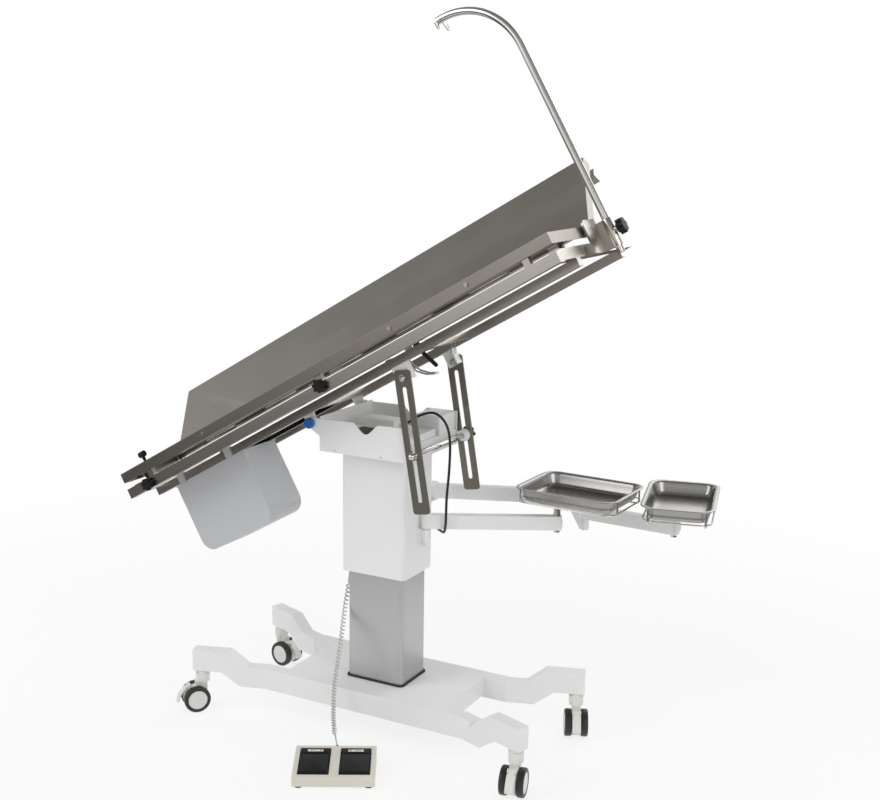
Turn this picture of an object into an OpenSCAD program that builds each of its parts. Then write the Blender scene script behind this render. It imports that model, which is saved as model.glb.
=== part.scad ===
// Tilting veterinary operating table with a lifting column, two folding wings and two instrument trays.
// World frame: the origin is on the floor under the column, +X points to the head end, +Y to the far side.

/* [Base] */
// length of each straight floor beam, up to the crease where its leg begins
beam_length = 624; // [500:1:760]
// height of the beams
beam_height = 60; // [40:1:80]
// width of the beams and legs
beam_width = 37; // [25:1:60]
// distance from the centre plane to the middle of a beam
beam_offset = 130.5; // [100:0.5:180]
// height of the beams' underside above the floor
beam_bottom_z = 79; // [60:1:110]
// length of a splayed leg
leg_length = 213; // [150:1:260]
// height of the leg's raised end above the floor
leg_end_z = 118; // [100:1:150]
// length of the platform between the beams
platform_length = 500; // [400:1:600]

/* [Casters] */
// diameter of the twin wheels
wheel_d = 75; // [60:1:100]
// width of one wheel
wheel_width = 19.4; // [14:0.1:26]
// distance from the swivel axis to the axle
caster_trail = 22; // [15:1:35]

/* [Column] */
// length of the column's section
column_length = 172; // [140:1:220]
// depth of the column's section
column_depth = 132; // [100:1:180]
// length of the outer shroud's section
shroud_length = 196; // [160:1:260]
// depth of the outer shroud's section
shroud_depth = 154; // [120:1:200]
// height of the shroud's lower edge at rest
shroud_bottom_z = 447; // [400:1:520]
// height of the carriage's underside at rest
carriage_z = 790; // [700:1:860]

/* [Carriage] */
// distance from the centre plane to the outer face of the side walls
carriage_half = 134; // [110:1:160]
// height of the side walls
carriage_height = 93; // [70:1:120]
// place of the left end wall's outer face
carriage_left = -131; // [-170:1:-110]
// place of the right end wall's outer face
carriage_right = 141; // [120:1:170]
// place of the tilt axis along X
pivot_x = -160; // [-190:1:-145]
// height of the tilt axis
pivot_z = 863; // [800:1:900]
// distance from the tilt axis to the link pin and to the crossbar
link_radius = 324.5; // [280:0.5:360]
// angle of the crossbar below the tilt axis
crossbar_drop = 8.4; // [5:0.1:12]

/* [Table top] */
// tilt of the table at rest
rest_tilt = 30; // [0:1:38]
// length of the table top
top_length = 1480; // [1200:10:1600]
// width of one wing, from the centre line to its edge
wing_width = 252; // [200:1:320]
// depth of the wings' folded lips
lip_depth = 28; // [15:1:40]
// thickness of the wings' sheet
sheet_t = 2; // [1:0.5:4]
// angle of the raised far wing
far_wing_lift = 47; // [0:1:50]
// distance from the foot end to the tilt axis
pivot_u = 583.4; // [500:0.1:700]
// drop of the tilt axis below the wings' top faces
pivot_n = 113.5; // [100:0.5:140]

/* [Links] */
// width of a slotted link
link_width = 48; // [36:1:60]
// length of a link below its pin
link_length = 355; // [320:1:380]
// width of the slot
slot_width = 13; // [11:0.5:16]

/* [Drip pole] */
// diameter of the pole
pole_d = 19; // [14:0.5:25]
// height of the pole's straight part above the table top
pole_rise = 475; // [350:5:600]
// radius of the bend at its top
pole_bend_r = 172; // [100:1:220]

/* [Bucket] */
// length of the bucket
bucket_length = 268; // [200:1:320]
// width of the bucket
bucket_width = 150; // [120:1:180]
// depth of the bucket
bucket_depth = 210; // [150:1:260]

/* [Arms and trays] */
// width of the arms' tube
arm_width = 25; // [18:1:35]
// height of the arms' tube
arm_height = 38; // [28:1:50]
// length of an instrument tray
tray_length = 296; // [240:1:340]
// width of an instrument tray
tray_width = 229; // [180:1:260]
// width of the narrower tray, on the arm's end
tray_two_width = 190; // [150:1:240]
// depth of an instrument tray
tray_depth = 37; // [25:1:60]
// height of the trays' rims at rest
tray_rim_z = 706; // [680:1:740]

/* [Foot switch] */
// width of the foot switch
switch_width = 210; // [160:1:260]
// depth of the foot switch
switch_depth = 148; // [120:1:180]
// height of its back
switch_back_h = 45; // [35:1:60]
// height of its front
switch_front_h = 32; // [20:1:45]

/* [Cords] */
// diameter of the curly cord's strand
curl_strand_d = 4; // [3:0.5:6]
// outer diameter of the curly cord
curl_outer_d = 14; // [10:0.5:20]
// number of curls
curl_count = 46; // [20:1:60]
// diameter of the control lead
lead_d = 7; // [5:0.5:9]

/* [Hidden] */
$fn = 48;
white = [0.88, 0.89, 0.88];
steel = [0.55, 0.53, 0.50];
chrome = [0.80, 0.80, 0.80];
black = [0.06, 0.06, 0.06];
ivory = [0.85, 0.84, 0.78];
blue = [0.10, 0.33, 0.62];
clear_grey = [0.70, 0.71, 0.72];
light_grey = [0.74, 0.74, 0.70];

run_gap = 0.05;
part_gap = 0.4;
joint_scale = 1.04;
eps = 1;

beam_top_z = beam_bottom_z + beam_height;
crease_out = 2;
crease_x = beam_length / 2 + crease_out;
splay = 19.6;
leg_back = 6;
leg_step = 0.4;
crease_step = 0.8;
leg_rise_start_share = 0.25;
leg_rise_end_share = 0.50;
leg_belly_start_share = 0.35;
leg_belly_end_share = 0.61;
leg_end_h = 61;
stem_s = 190;
stem_x = crease_x + stem_s * cos(splay);
stem_y = beam_offset + stem_s * sin(splay);
stem_r = 6;
stem_top_z = 158;
platform_half = beam_offset - beam_width / 2;
platform_drop = 52;
platform_t = 4;

wheel_r = wheel_d / 2;
wheel_inner = 12.6;
axle_r = 5;
web_half = 12;
web_r = 34;
hub_r = 27;
hub_step = 1;
head_r = 20;
head_bottom_z = 84;
head_top_z = 109;
race_r = 16;
race_top_z = 117.6;
brake_hinge_r = 39.5;
brake_lug_r = 6.5;
brake_slot_half = 8.4;
brake_slot_r = 8;
brake_knuckle_r = 5;
brake_r0 = 39.5;
brake_r1 = 51;
brake_t = 4;
brake_a0 = 62;
brake_a1 = -8;
brake_steps = 14;
brake_wide_step = 3;
brake_half = 11;
brake_pin_r = 2.5;
heads = [-129, -10, -78, -64];
sides_x = [-1, -1, 1, 1];
sides_y = [-1, 1, -1, 1];

column_r = 12;
column_wall = 4;
column_top_z = 555;
gasket_t = 5;
gasket_out = 4;
shroud_r = 10;
shroud_wall = 4;
wall_t = 4;
ear_r = 15;
boss_r = 14;
boss_out = 138.8;
boss_in = 122;
notch_x = 10;
notch_half = 48;
notch_deep = 32;
notch_steps = 20;
right_wall_h = 42;
shelf_left = 60;
foot_ramp = 40;
ear_drop = 6;
crossbar_x = pivot_x + link_radius * cos(crossbar_drop);
crossbar_z = pivot_z - link_radius * sin(crossbar_drop);
bar_r = 8;
stud_r = 5;
ball_r = 9;
ball_y = 153;
washer_r = 12;
washer_t = 2.4;
knob_r = 21;
knob_t = 20;
pole_knob_r = 20;
pole_knob_t = 18;
knob_bite = 4;
lobe_count = 7;
lobe_share = 0.26;
lobe_step = 1;
bore_share = 0.7;
pivot_rod_r = 6;
cap_r = 14.5;
cap_t = 12;
cap_step = 2;

insert_left = -70;
insert_right = 130;
insert_near = -126;
insert_far = 30;
insert_top_z = 850;
block_right = 30;
block_near = -20;
block_top_z = 868;
control_left = 62;
control_right = 137;
control_near = 40;
control_far = 126;
control_bottom_z = 832;
control_top_z = 881;
control_r = 3;

end_beam_n0 = -70.5;
end_beam_n1 = -42;
end_beam_w = 25;
end_beam_u = 5;
end_beam_half = 224;
rail_in = 125;
rail_out = 150;
rail_top = -70;
rail_bottom = -92;
bumper_v = 170;
bumper_r = 8;
bumper_top = -2.4;
cross_us = [610, 985];
cross_w = 20;
cross_n0 = -90;
cross_n1 = -72;
runner_v = 12;
strap_u = 880;
strap_w = 15;
strap_half = 140;
strap_t = 4.5;
hinge_n = -6;
hinge_rod_r = 3.5;
knuckle_r = 6;
knuckle_gap = 1;
knuckle_count = 12;
pan_edge = 9;
wing_rail_in = 227;
wing_rail_out = 252;
wing_rail_top = -47;
wing_rail_bottom = -75;
standoff_us = [100, top_length / 2 + 5, top_length - 80];
standoff_in = 232;
standoff_out = 247;
standoff_w = 18;
bolt_r = 5;
bolt_h = 4;
bolt_us = [330, top_length - 480, top_length - 240];
bolt_n = -14;

link_angle = (rest_tilt - 2.2) / 2 - crossbar_drop / 2;
link_top = 20;
link_r = 8;
slot_start = 23;
slot_end = 325;
link_in = 139.2;
link_t = 4;
pin_angle = -2.2;
pin_u = pivot_u + link_radius * cos(pin_angle);
pin_n = -pivot_n + link_radius * sin(pin_angle);
bracket_in = 134.6;
bracket_t = 4;
bracket_half = 22;
flange_in = 126;
fold_in = 112;
fold_n = -136;
hinge_plate_in = 120.8;
hinge_plate_half = 20;
hinge_plate_top = -72;

shaft_u = 950;
shaft_n = -61;
shaft_r = 7.5;
shaft_half = 121;
lug_half = 12;
lug_n0 = -90;
lug_n1 = -50;
lever_v = -89;
lever_w = 14;
lever_hub_r = 13;
lever_du = 31;
lever_dn = -70;
lever_root_share = 0.15;
lever_r1 = 5.5;
loop_r = 2.5;
near_loop_vs = [-66, -46];
far_loop_vs = [60, 80];
near_loop = [[strap_u + 9, -71], [strap_u + 13, -95], [strap_u + 28, -120], [strap_u + 50, -138],
    [strap_u + 73, -147]];
far_loop = [[cross_us[1] + 1, -80], [cross_us[1] - 13, -86], [cross_us[1] - 23, -97],
    [cross_us[1] - 29, -109]];

plate_u = top_length + 6;
plate_t = 5;
plate_half = 60;
plate_n0 = -75;
plate_n1 = 12;
plate_r = 12;
foot_plate_half = 20;
foot_plate_t = 4;
foot_plate_gap = 6;
spacer_n1 = -45;
spacer_half = 50;
pole_u = top_length + 30;
pole_v = 42;
sleeve_r = 12.5;
sleeve_n0 = -72;
pole_n0 = -90;
hook_r = 2;
hook_reach = 34;
hook_drop = 26;
knob_n = -33;
knob_u = pole_u + 20;
screw_shaft_r = 4;
boss_knob_r = 8;
boss_knob_u = pole_u + 17;

rail_knob_us = [747, 86];
rail_knob_ns = [-55, -62];
rail_knob_r = 17.5;
rail_knob_t = 16;
rail_knob_gap = 1.5;
stud_share = 0.6;
cleat_u = 12;
cleat_v = 150;
cleat_h = 44;
cleat_r = 9;

bucket_u = 82;
bucket_v0 = -152;
bucket_n1 = -93;
bucket_wall = 3;
bucket_r = 40;
bucket_rim = 6;
hook_t = 3;
hook_gap = 0.6;
hook_us = [110, 300];
hook_w = 24;

arm_a_z = 619;
arm_b_z = 580;
arm_two_z = 577;
arm_a_pivot = [56, 161];
elbow = [451, 317];
pin_two = [712, 303];
arm_b_pivot = [119, 4];
pin_b = [428, 172];
arm_end_r = 13;
arm_over = 12;
arm_pin_r = 8;
collar_low_z = 546;
gusset_len = 52;
gusset_t = 5;
arm_a_clevis_t = 5;
arm_b_barrel_low = 540;
arm_b_barrel_top = 576;
barrel_r = 11;
arm_b_pin_r = 7;
arm_b_bracket_low = 525;
arm_b_bracket_top = 578;
arm_b_bracket_back = 26;
arm_b_web = 7;
gusset_near = 14;
screw_r = 1.6;
screw_h = 2.5;
screw_ring = 7;
post_r = 6;
post_top_r = 9;
cap_pin_r = 8;
cap_pin_h = 7;
tray_seat = 8;
holder_z = tray_rim_z - tray_depth - tray_seat;
holder_wire_r = 2.5;
holder_plate_l = 170;
holder_plate_w = 150;
wire_span = 280;
tray_r = 40;
tray_wall = 1.6;
tray_rim_w = 9;
tray_rim_h = 2.5;
tray_in = 6;
tray_gap_z = 7.7;
tray_one = [487, 181];
tray_one_turn = -2.5;
tray_two = [748.5, 236.7];
tray_two_turn = 103.8;

switch_at = [54, -350];
switch_turn = 29.2;
switch_clear_z = 6;
switch_wall = 3;
pedal_w = 76;
pedal_d = 120;
pedal_x = 52.5;
pedal_t = 13;
pedal_rise = 3;
pocket_gap = 2;
pocket_floor_z = 13;
pedal_hinge_y = 50;
pedal_hinge_drop = 8;
foot_r = 11;
foot_in = 16;
relief_len = 22;
relief_r0 = 9;
relief_r1 = 6.5;
relief_z = 30;
pedal_pin_half = 41;
pedal_pin_r = 3;
pedal_nose = 3;

curl_route = [
    [7.2, -266, 30], [-2, -253, 33], [-20, -236, 52], [-33, -222, 84], [-42, -208, 118],
    [-51, -190, 160], [-58, -165, 208], [-66, -138, 250], [-76, -110, 288], [-88, -82, 320],
    [-99, -56, 347], [-106, -36, 372], [-110, -22, 398], [-111, -16, 418], [-111, -15, 439]];
lead_route = [
    [39, 14, 858], [48, 14, 859], [62, 12, 865], [78, 9, 876], [94, 7, 886], [114, 6, 894],
    [135, 6, 898], [154, 6, 892], [169, 7, 878], [180, 9, 854], [185, 10, 812], [183, 10, 742],
    [178, 8, 671], [178, 6, 620], [177, 6, 597], [173, 9, 579], [165, 17, 571], [153, 28, 569],
    [139, 39, 569], [126, 47, 569.5], [111, 49, 570]];
gland_curl = [-111, -15];
lead_gland_r = 7;
route_fine = 6;
curl_pitch_low = 6.3;
curl_pitch_high = 12.2;
curl_rings = 8;
curl_sides = 6;
curl_blend = 0.8;
lead_rings = 56;
lead_sides = 8;

// shared shapes
module rounded_rect(length, width, r) {
    square([length - 2 * r, width], center = true);
    square([length, width - 2 * r], center = true);
    for (sx = [-1, 1], sy = [-1, 1]) translate([sx * (length / 2 - r), sy * (width / 2 - r)]) circle(r);
}

module rod(p, q, r) {
    d = q - p;
    translate(p) rotate([0, acos(d.z / norm(d)), atan2(d.y, d.x)]) cylinder(h = norm(d), r = r);
}

module wire(points, r) {
    for (i = [1:len(points) - 1]) rod(points[i - 1], points[i], r);
    for (i = [1:len(points) - 2]) translate(points[i]) sphere(r * joint_scale);
}

module span_box(a, b) {
    translate(a) cube(b - a);
}

// a cylinder along Y from y0 to y1
module y_rod(y0, y1, r) {
    translate([0, y1, 0]) rotate([90, 0, 0]) cylinder(h = y1 - y0, r = r);
}

// a cylinder along X from x0 to x1
module x_rod(x0, x1, r) {
    translate([x0, 0, 0]) rotate([0, 90, 0]) cylinder(h = x1 - x0, r = r);
}

// a flat plate in the XZ plane between two Y faces
module y_plate(y0, y1) {
    translate([0, y1, 0]) rotate([90, 0, 0]) linear_extrude(y1 - y0) children();
}

// a lobed hand knob along +Z with a blind bore
module lobed_knob(r, thickness, bore_r) {
    lobe_r = r * lobe_share;
    difference() {
        union() {
            cylinder(h = thickness, r = r - lobe_r);
            for (i = [0:lobe_count - 1]) rotate([0, 0, i * 360 / lobe_count])
                translate([r - lobe_r, 0, lobe_step])
                cylinder(h = thickness - 2 * lobe_step, r = lobe_r);
        }
        if (bore_r > 0) translate([0, 0, -eps]) cylinder(h = thickness * bore_share + eps, r = bore_r);
    }
}

// Frames: the table's own frame has u along the top, v across it and n up from it.
module in_table() {
    translate([pivot_x, 0, pivot_z]) rotate([0, -rest_tilt, 0]) translate([-pivot_u, 0, pivot_n]) children();
}

module on_near_wing() {
    in_table() mirror([0, 1, 0]) children();
}

module on_far_wing() {
    in_table() translate([0, 0, hinge_n]) rotate([far_wing_lift, 0, 0]) translate([0, 0, -hinge_n])
        children();
}

// base
module leg() {
    translate([crease_x, beam_offset, 0]) rotate([0, 0, splay]) difference() {
        y_plate(-beam_width / 2, beam_width / 2) polygon([
            [-leg_back, beam_bottom_z + leg_step],
                [leg_length * leg_belly_start_share, beam_bottom_z + leg_step],
            [leg_length * leg_belly_end_share, leg_end_z], [leg_length, leg_end_z],
            [leg_length, leg_end_z + leg_end_h], [leg_length * leg_rise_end_share, leg_end_z + leg_end_h],
            [leg_length * leg_rise_start_share, beam_top_z - leg_step], [-leg_back, beam_top_z - leg_step]]);
        translate([stem_s, 0, leg_end_z - eps]) cylinder(h = stem_top_z - leg_end_z + 2 * eps,
            r = stem_r + run_gap);
    }
}

module base_frame() {
    color(white) {
        for (sy = [-1, 1]) span_box([-crease_x, sy * beam_offset - beam_width / 2, beam_bottom_z],
            [crease_x, sy * beam_offset + beam_width / 2, beam_top_z]);
        for (mx = [0, 1], my = [0, 1]) mirror([mx, 0, 0]) mirror([0, my, 0]) {
            leg();
            translate([crease_x, beam_offset, beam_bottom_z + crease_step])
                cylinder(h = beam_height - 2 * crease_step, r = beam_width / 2 - crease_step);
        }
        difference() {
            span_box([-platform_length / 2, -platform_half - eps, beam_top_z - platform_drop],
                [platform_length / 2, platform_half + eps, beam_top_z]);
            span_box([-platform_length / 2 + platform_t, -platform_half, beam_top_z - platform_drop - eps],
                [platform_length / 2 - platform_t, platform_half, beam_top_z - platform_t]);
        }
    }
}

module column_tube() {
    color(steel) translate([0, 0, beam_top_z]) difference() {
        linear_extrude(column_top_z - beam_top_z) rounded_rect(column_length, column_depth, column_r);
        translate([0, 0, column_wall]) linear_extrude(column_top_z - beam_top_z)
            rounded_rect(column_length - 2 * column_wall, column_depth - 2 * column_wall,
                column_r - column_wall);
    }
}

module column_gasket() {
    color(black) translate([0, 0, beam_top_z]) linear_extrude(gasket_t) difference() {
        rounded_rect(column_length + 2 * gasket_out, column_depth + 2 * gasket_out, column_r);
        rounded_rect(column_length, column_depth, column_r);
    }
}

// casters, each in its own swivel frame with +X along the trail
module at_caster(i) {
    translate([sides_x[i] * stem_x, sides_y[i] * stem_y, 0]) rotate([0, 0, heads[i]]) children();
}

module at_brake_hinge() {
    translate([caster_trail + brake_hinge_r * cos(brake_a0), 0, wheel_r + brake_hinge_r * sin(brake_a0)])
        children();
}

module caster_body(i) {
    color(ivory) at_caster(i) difference() {
        union() {
            translate([caster_trail, 0, wheel_r]) y_rod(-web_half, web_half, web_r);
            at_brake_hinge() y_rod(-web_half, web_half, brake_lug_r);
            translate([0, 0, head_bottom_z]) cylinder(h = head_top_z - head_bottom_z, r = head_r);
            span_box([-head_r / 2, -web_half, wheel_r], [caster_trail, web_half, head_bottom_z + eps]);
            translate([0, 0, head_top_z]) cylinder(h = race_top_z - head_top_z, r = race_r);
            translate([0, 0, race_top_z - eps]) cylinder(h = stem_top_z - race_top_z, r = stem_r);
        }
        translate([caster_trail, 0, wheel_r]) y_rod(-web_half - eps, web_half + eps, axle_r + run_gap);
        at_brake_hinge() y_rod(-web_half - eps, web_half + eps, brake_pin_r + run_gap);
        at_brake_hinge() y_rod(-brake_slot_half, brake_slot_half, brake_slot_r);
    }
}

module caster_wheels(i) {
    color(black) at_caster(i) translate([caster_trail, 0, wheel_r]) {
        y_rod(-wheel_inner - eps, wheel_inner + eps, axle_r);
        for (my = [0, 1]) mirror([0, my, 0]) difference() {
            union() {
                y_rod(wheel_inner + 2 * hub_step, wheel_inner + wheel_width - 2 * hub_step, wheel_r);
                y_rod(wheel_inner, wheel_inner + wheel_width, wheel_r - 2 * hub_step);
            }
            y_rod(wheel_inner + wheel_width - hub_step, wheel_inner + wheel_width + eps, hub_r);
        }
    }
}

function brake_point(k, extra) =
    let (a = brake_a0 + (brake_a1 - brake_a0) * k / brake_steps,
         r = brake_r0 + (brake_r1 - brake_r0) * k * k / (brake_steps * brake_steps) + extra)
    [r * cos(a), r * sin(a)];

module brake_tongue(first) {
    polygon(concat(
        [for (k = [first:brake_steps]) brake_point(k, 0)],
        [for (k = [brake_steps:-1:first]) brake_point(k, brake_t)]));
}

module caster_brake(i) {
    color(ivory) at_caster(i) {
        at_brake_hinge() y_rod(-brake_slot_half + part_gap, brake_slot_half - part_gap, brake_knuckle_r);
        at_brake_hinge() y_rod(-web_half, web_half, brake_pin_r);
        translate([caster_trail, 0, wheel_r]) {
            y_plate(-brake_slot_half + part_gap, brake_slot_half - part_gap) brake_tongue(0);
            y_plate(-brake_half, brake_half) brake_tongue(brake_wide_step);
        }
    }
}

module caster_nl_body() { caster_body(0); }
module caster_fl_body() { caster_body(1); }
module caster_nr_body() { caster_body(2); }
module caster_fr_body() { caster_body(3); }
module caster_nl_wheels() { caster_wheels(0); }
module caster_fl_wheels() { caster_wheels(1); }
module caster_nr_wheels() { caster_wheels(2); }
module caster_fr_wheels() { caster_wheels(3); }
module caster_nl_brake() { caster_brake(0); }
module caster_fl_brake() { caster_brake(1); }
module caster_nr_brake() { caster_brake(2); }
module caster_fr_brake() { caster_brake(3); }

// foot switch, in its own frame with +Y to its back
module at_switch() {
    translate([switch_at.x, switch_at.y, 0]) rotate([0, 0, switch_turn]) children();
}

switch_slope = (switch_back_h - switch_front_h) / switch_depth;
function switch_top(y) = switch_front_h + (y + switch_depth / 2) * switch_slope;

module foot_housing() {
    color(ivory) at_switch() difference() {
        rotate([90, 0, 90]) translate([0, 0, -switch_width / 2]) linear_extrude(switch_width) polygon([
            [-switch_depth / 2, switch_clear_z], [switch_depth / 2, switch_clear_z],
            [switch_depth / 2, switch_back_h], [-switch_depth / 2, switch_front_h]]);
        for (sx = [-1, 1]) span_box(
            [sx * pedal_x - pedal_w / 2 - pocket_gap, -pedal_d / 2 - pocket_gap, pocket_floor_z],
            [sx * pedal_x + pedal_w / 2 + pocket_gap, pedal_d / 2 + pocket_gap, switch_back_h + eps]);
        for (sx = [-1, 1]) at_pedal_hinge(sx) x_rod(-pedal_pin_half - eps, pedal_pin_half + eps,
            pedal_pin_r + run_gap);
        translate([0, 0, relief_z]) y_rod(switch_depth / 2 - switch_wall, switch_depth / 2 + eps, relief_r1);
    }
}

module at_pedal_hinge(sx) {
    translate([sx * pedal_x, pedal_hinge_y, switch_top(pedal_hinge_y) - pedal_hinge_drop]) children();
}

module foot_pedal(sx) {
    color(black) at_switch() {
        translate([sx * pedal_x, 0, 0]) rotate([90, 0, 90]) translate([0, 0, -pedal_w / 2])
            linear_extrude(pedal_w)
            polygon([
                [-pedal_d / 2, switch_top(-pedal_d / 2) + pedal_rise - pedal_t],
                [pedal_d / 2, switch_top(pedal_d / 2) + pedal_rise - pedal_t],
                [pedal_d / 2, switch_top(pedal_d / 2) + pedal_rise - pedal_nose],
                [pedal_d / 2 - pedal_nose, switch_top(pedal_d / 2) + pedal_rise],
                [-pedal_d / 2 + pedal_nose, switch_top(-pedal_d / 2) + pedal_rise],
                [-pedal_d / 2, switch_top(-pedal_d / 2) + pedal_rise - pedal_nose]]);
        at_pedal_hinge(sx) x_rod(-pedal_pin_half, pedal_pin_half, pedal_pin_r);
    }
}

module foot_pedal_left() { foot_pedal(-1); }
module foot_pedal_right() { foot_pedal(1); }

module foot_rubbers() {
    color(black) at_switch() {
        for (sx = [-1, 1], sy = [-1, 1])
            translate([sx * (switch_width / 2 - foot_in), sy * (switch_depth / 2 - foot_in), 0])
                cylinder(h = switch_clear_z, r = foot_r);
        translate([0, switch_depth / 2 - switch_wall, relief_z]) rotate([-90, 0, 0])
            cylinder(h = switch_wall, r = relief_r1);
        translate([0, switch_depth / 2, relief_z]) rotate([-90, 0, 0])
            cylinder(h = relief_len, r1 = relief_r0, r2 = relief_r1);
    }
}

// cords: a smooth route through hand-chosen points, then rings swept along it
function spline_at(p, i, t) =
    let (a = p[max(i - 1, 0)], b = p[i], c = p[i + 1], d = p[min(i + 2, len(p) - 1)])
    0.5 * (2 * b + (c - a) * t + (2 * a - 5 * b + 4 * c - d) * t * t + (3 * b - a - 3 * c + d) * t * t * t);
function fine_route(p) = concat(
    [for (i = [0:len(p) - 2], k = [0:route_fine - 1]) spline_at(p, i, k / route_fine)], [p[len(p) - 1]]);
function run_lengths(q, i = 0, total = 0) = i >= len(q) - 1 ? [total] :
    concat([total], run_lengths(q, i + 1, total + norm(q[i + 1] - q[i])));
function axis_table(q, s, k) = [for (i = [0:len(q) - 1]) [s[i], q[i][k]]];
function unit(v) = v / norm(v);
function side_of(t) = unit(cross([1, 0.12, 0], t));

// a closed tube whose rings are lists of points, all with the same number of sides
module ring_tube(rings) {
    n = len(rings[0]);
    m = len(rings);
    polyhedron(
        points = [for (ring = rings) for (p = ring) p],
        faces = concat(
            [for (j = [1:n - 2]) [0, j, j + 1]],
            [for (i = [0:m - 2], j = [0:n - 1]) [i * n + j, (i + 1) * n + j, i * n + (j + 1) % n]],
            [for (i = [0:m - 2], j = [0:n - 1])
                [(i + 1) * n + j, (i + 1) * n + (j + 1) % n, i * n + (j + 1) % n]],
            [for (j = [1:n - 2]) [(m - 1) * n, (m - 1) * n + j + 1, (m - 1) * n + j]]));
}

function ring_at(c, t, r, n) =
    let (a = side_of(t), b = cross(t, a))
    [for (j = [0:n - 1]) c + r * (cos(360 * j / n) * a + sin(360 * j / n) * b)];

function centre_at(tx, ty, tz, s) = [lookup(s, tx), lookup(s, ty), lookup(s, tz)];

module plain_cord(route, diameter, ring_count, side_count) {
    q = fine_route(route);
    s = run_lengths(q);
    tx = axis_table(q, s, 0);
    ty = axis_table(q, s, 1);
    tz = axis_table(q, s, 2);
    total = s[len(s) - 1];
    step = total / ring_count;
    ring_tube([for (i = [0:ring_count])
        let (at = i * step,
             t = unit(centre_at(tx, ty, tz, at + step / 4) - centre_at(tx, ty, tz, at - step / 4)))
        ring_at(centre_at(tx, ty, tz, at), t, diameter / 2, side_count)]);
    echo(cord_length = total);
}

// the curl's centre line: the pitch grows from the foot switch to the column
curl_r = (curl_outer_d - curl_strand_d) / 2;
curl_run = curl_count * (curl_pitch_low + curl_pitch_high) / 2;
function curl_s(k, lead_in) = lead_in + k * curl_pitch_low
    + (curl_pitch_high - curl_pitch_low) * k * k / (2 * curl_count);
function curl_swell(k) = min(1, k / curl_blend, (curl_count - k) / curl_blend);

module curled_cord(route) {
    q = fine_route(route);
    s = run_lengths(q);
    tx = axis_table(q, s, 0);
    ty = axis_table(q, s, 1);
    tz = axis_table(q, s, 2);
    total = s[len(s) - 1];
    lead_in = (total - curl_run) / 2;
    steps = curl_count * curl_rings;
    coil = [for (i = [0:steps])
        let (k = i / curl_rings, at = curl_s(k, lead_in), c = centre_at(tx, ty, tz, at),
             t = unit(centre_at(tx, ty, tz, at + curl_strand_d) - centre_at(tx, ty, tz, at - curl_strand_d)),
             a = side_of(t), b = cross(t, a), w = curl_r * curl_swell(k))
        c + w * (cos(360 * k) * a + sin(360 * k) * b)];
    line = concat([route[0], centre_at(tx, ty, tz, curl_strand_d)], coil,
        [centre_at(tx, ty, tz, total - curl_strand_d), route[len(route) - 1]]);
    last = len(line) - 1;
    ring_tube([for (i = [0:last])
        let (t = i == 0 ? unit(line[1] - line[0]) : i == last ? unit(line[last] - line[last - 1]) :
            unit(unit(line[i + 1] - line[i]) + unit(line[i] - line[i - 1])))
        curl_ring(line[i], t, curl_strand_d / 2)]);
    echo(curly_length = total, lead_in = lead_in);
    echo(least_gap = min([for (i = [0:steps - curl_rings])
        for (j = [i + curl_rings - 2:min(i + curl_rings + 2, steps)])
        norm(coil[i] - coil[j])]) - curl_strand_d);
}

function curl_ring(c, t, r) =
    let (a = unit(cross([0.3, 0.1, 1], t)), b = cross(t, a))
    [for (j = [0:curl_sides - 1]) c + r * (cos(360 * j / curl_sides) * a + sin(360 * j / curl_sides) * b)];

module curly_cord() {
    color(light_grey) curled_cord(curl_route);
}

module control_lead() {
    color(black) plain_cord(lead_route, lead_d, lead_rings, lead_sides);
}

// lifting head
module shroud() {
    color(white) translate([0, 0, shroud_bottom_z]) linear_extrude(carriage_z - shroud_bottom_z)
        difference() {
        rounded_rect(shroud_length, shroud_depth, shroud_r);
        rounded_rect(shroud_length - 2 * shroud_wall, shroud_depth - 2 * shroud_wall, shroud_r - shroud_wall);
    }
}

module side_wall() {
    top_z = carriage_z + carriage_height;
    difference() {
        y_plate(carriage_half - wall_t, carriage_half) {
            difference() {
                polygon([[carriage_left, carriage_z], [carriage_right, carriage_z],
                    [carriage_right, top_z - sheet_t],
                    [pivot_x, top_z - ear_drop], [pivot_x, pivot_z - ear_r],
                        [carriage_left, carriage_z + foot_ramp]]);
                polygon(concat([[notch_x - notch_half, top_z + eps]],
                    [for (k = [0:notch_steps]) [notch_x - notch_half + 2 * notch_half * k / notch_steps,
                        top_z - notch_deep * (1 - cos(360 * k / notch_steps)) / 2]],
                    [[notch_x + notch_half, top_z + eps]]));
            }
            translate([pivot_x, pivot_z]) circle(ear_r);
            translate([carriage_right - eps, crossbar_z - boss_r * 0.7])
                square([crossbar_x - carriage_right, boss_r * 1.4]);
        }
        translate([pivot_x, 0, pivot_z]) y_rod(carriage_half - wall_t - eps, carriage_half + eps,
            pivot_rod_r);
    }
}

module carriage() {
    color(white) {
        difference() {
            for (my = [0, 1]) mirror([0, my, 0]) {
                side_wall();
                translate([crossbar_x, 0, crossbar_z]) y_rod(boss_in, boss_out, boss_r);
            }
            translate([crossbar_x, 0, crossbar_z])
                y_rod(-carriage_half - bar_r, carriage_half + bar_r, stud_r);
        }
        inner = carriage_half - wall_t / 2;
        span_box([carriage_left, -inner, carriage_z], [carriage_right, inner, carriage_z + wall_t]);
        span_box([carriage_left, -inner, carriage_z],
            [carriage_left + wall_t, inner, carriage_z + carriage_height]);
        span_box([carriage_right - wall_t, -inner, carriage_z],
            [carriage_right, inner, carriage_z + right_wall_h]);
        span_box([insert_right + eps, -inner, carriage_z + right_wall_h - wall_t],
            [carriage_right, inner, carriage_z + right_wall_h]);
        span_box([shelf_left, insert_far + eps, carriage_z + right_wall_h - wall_t],
            [carriage_right, inner, carriage_z + right_wall_h]);
    }
}

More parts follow.
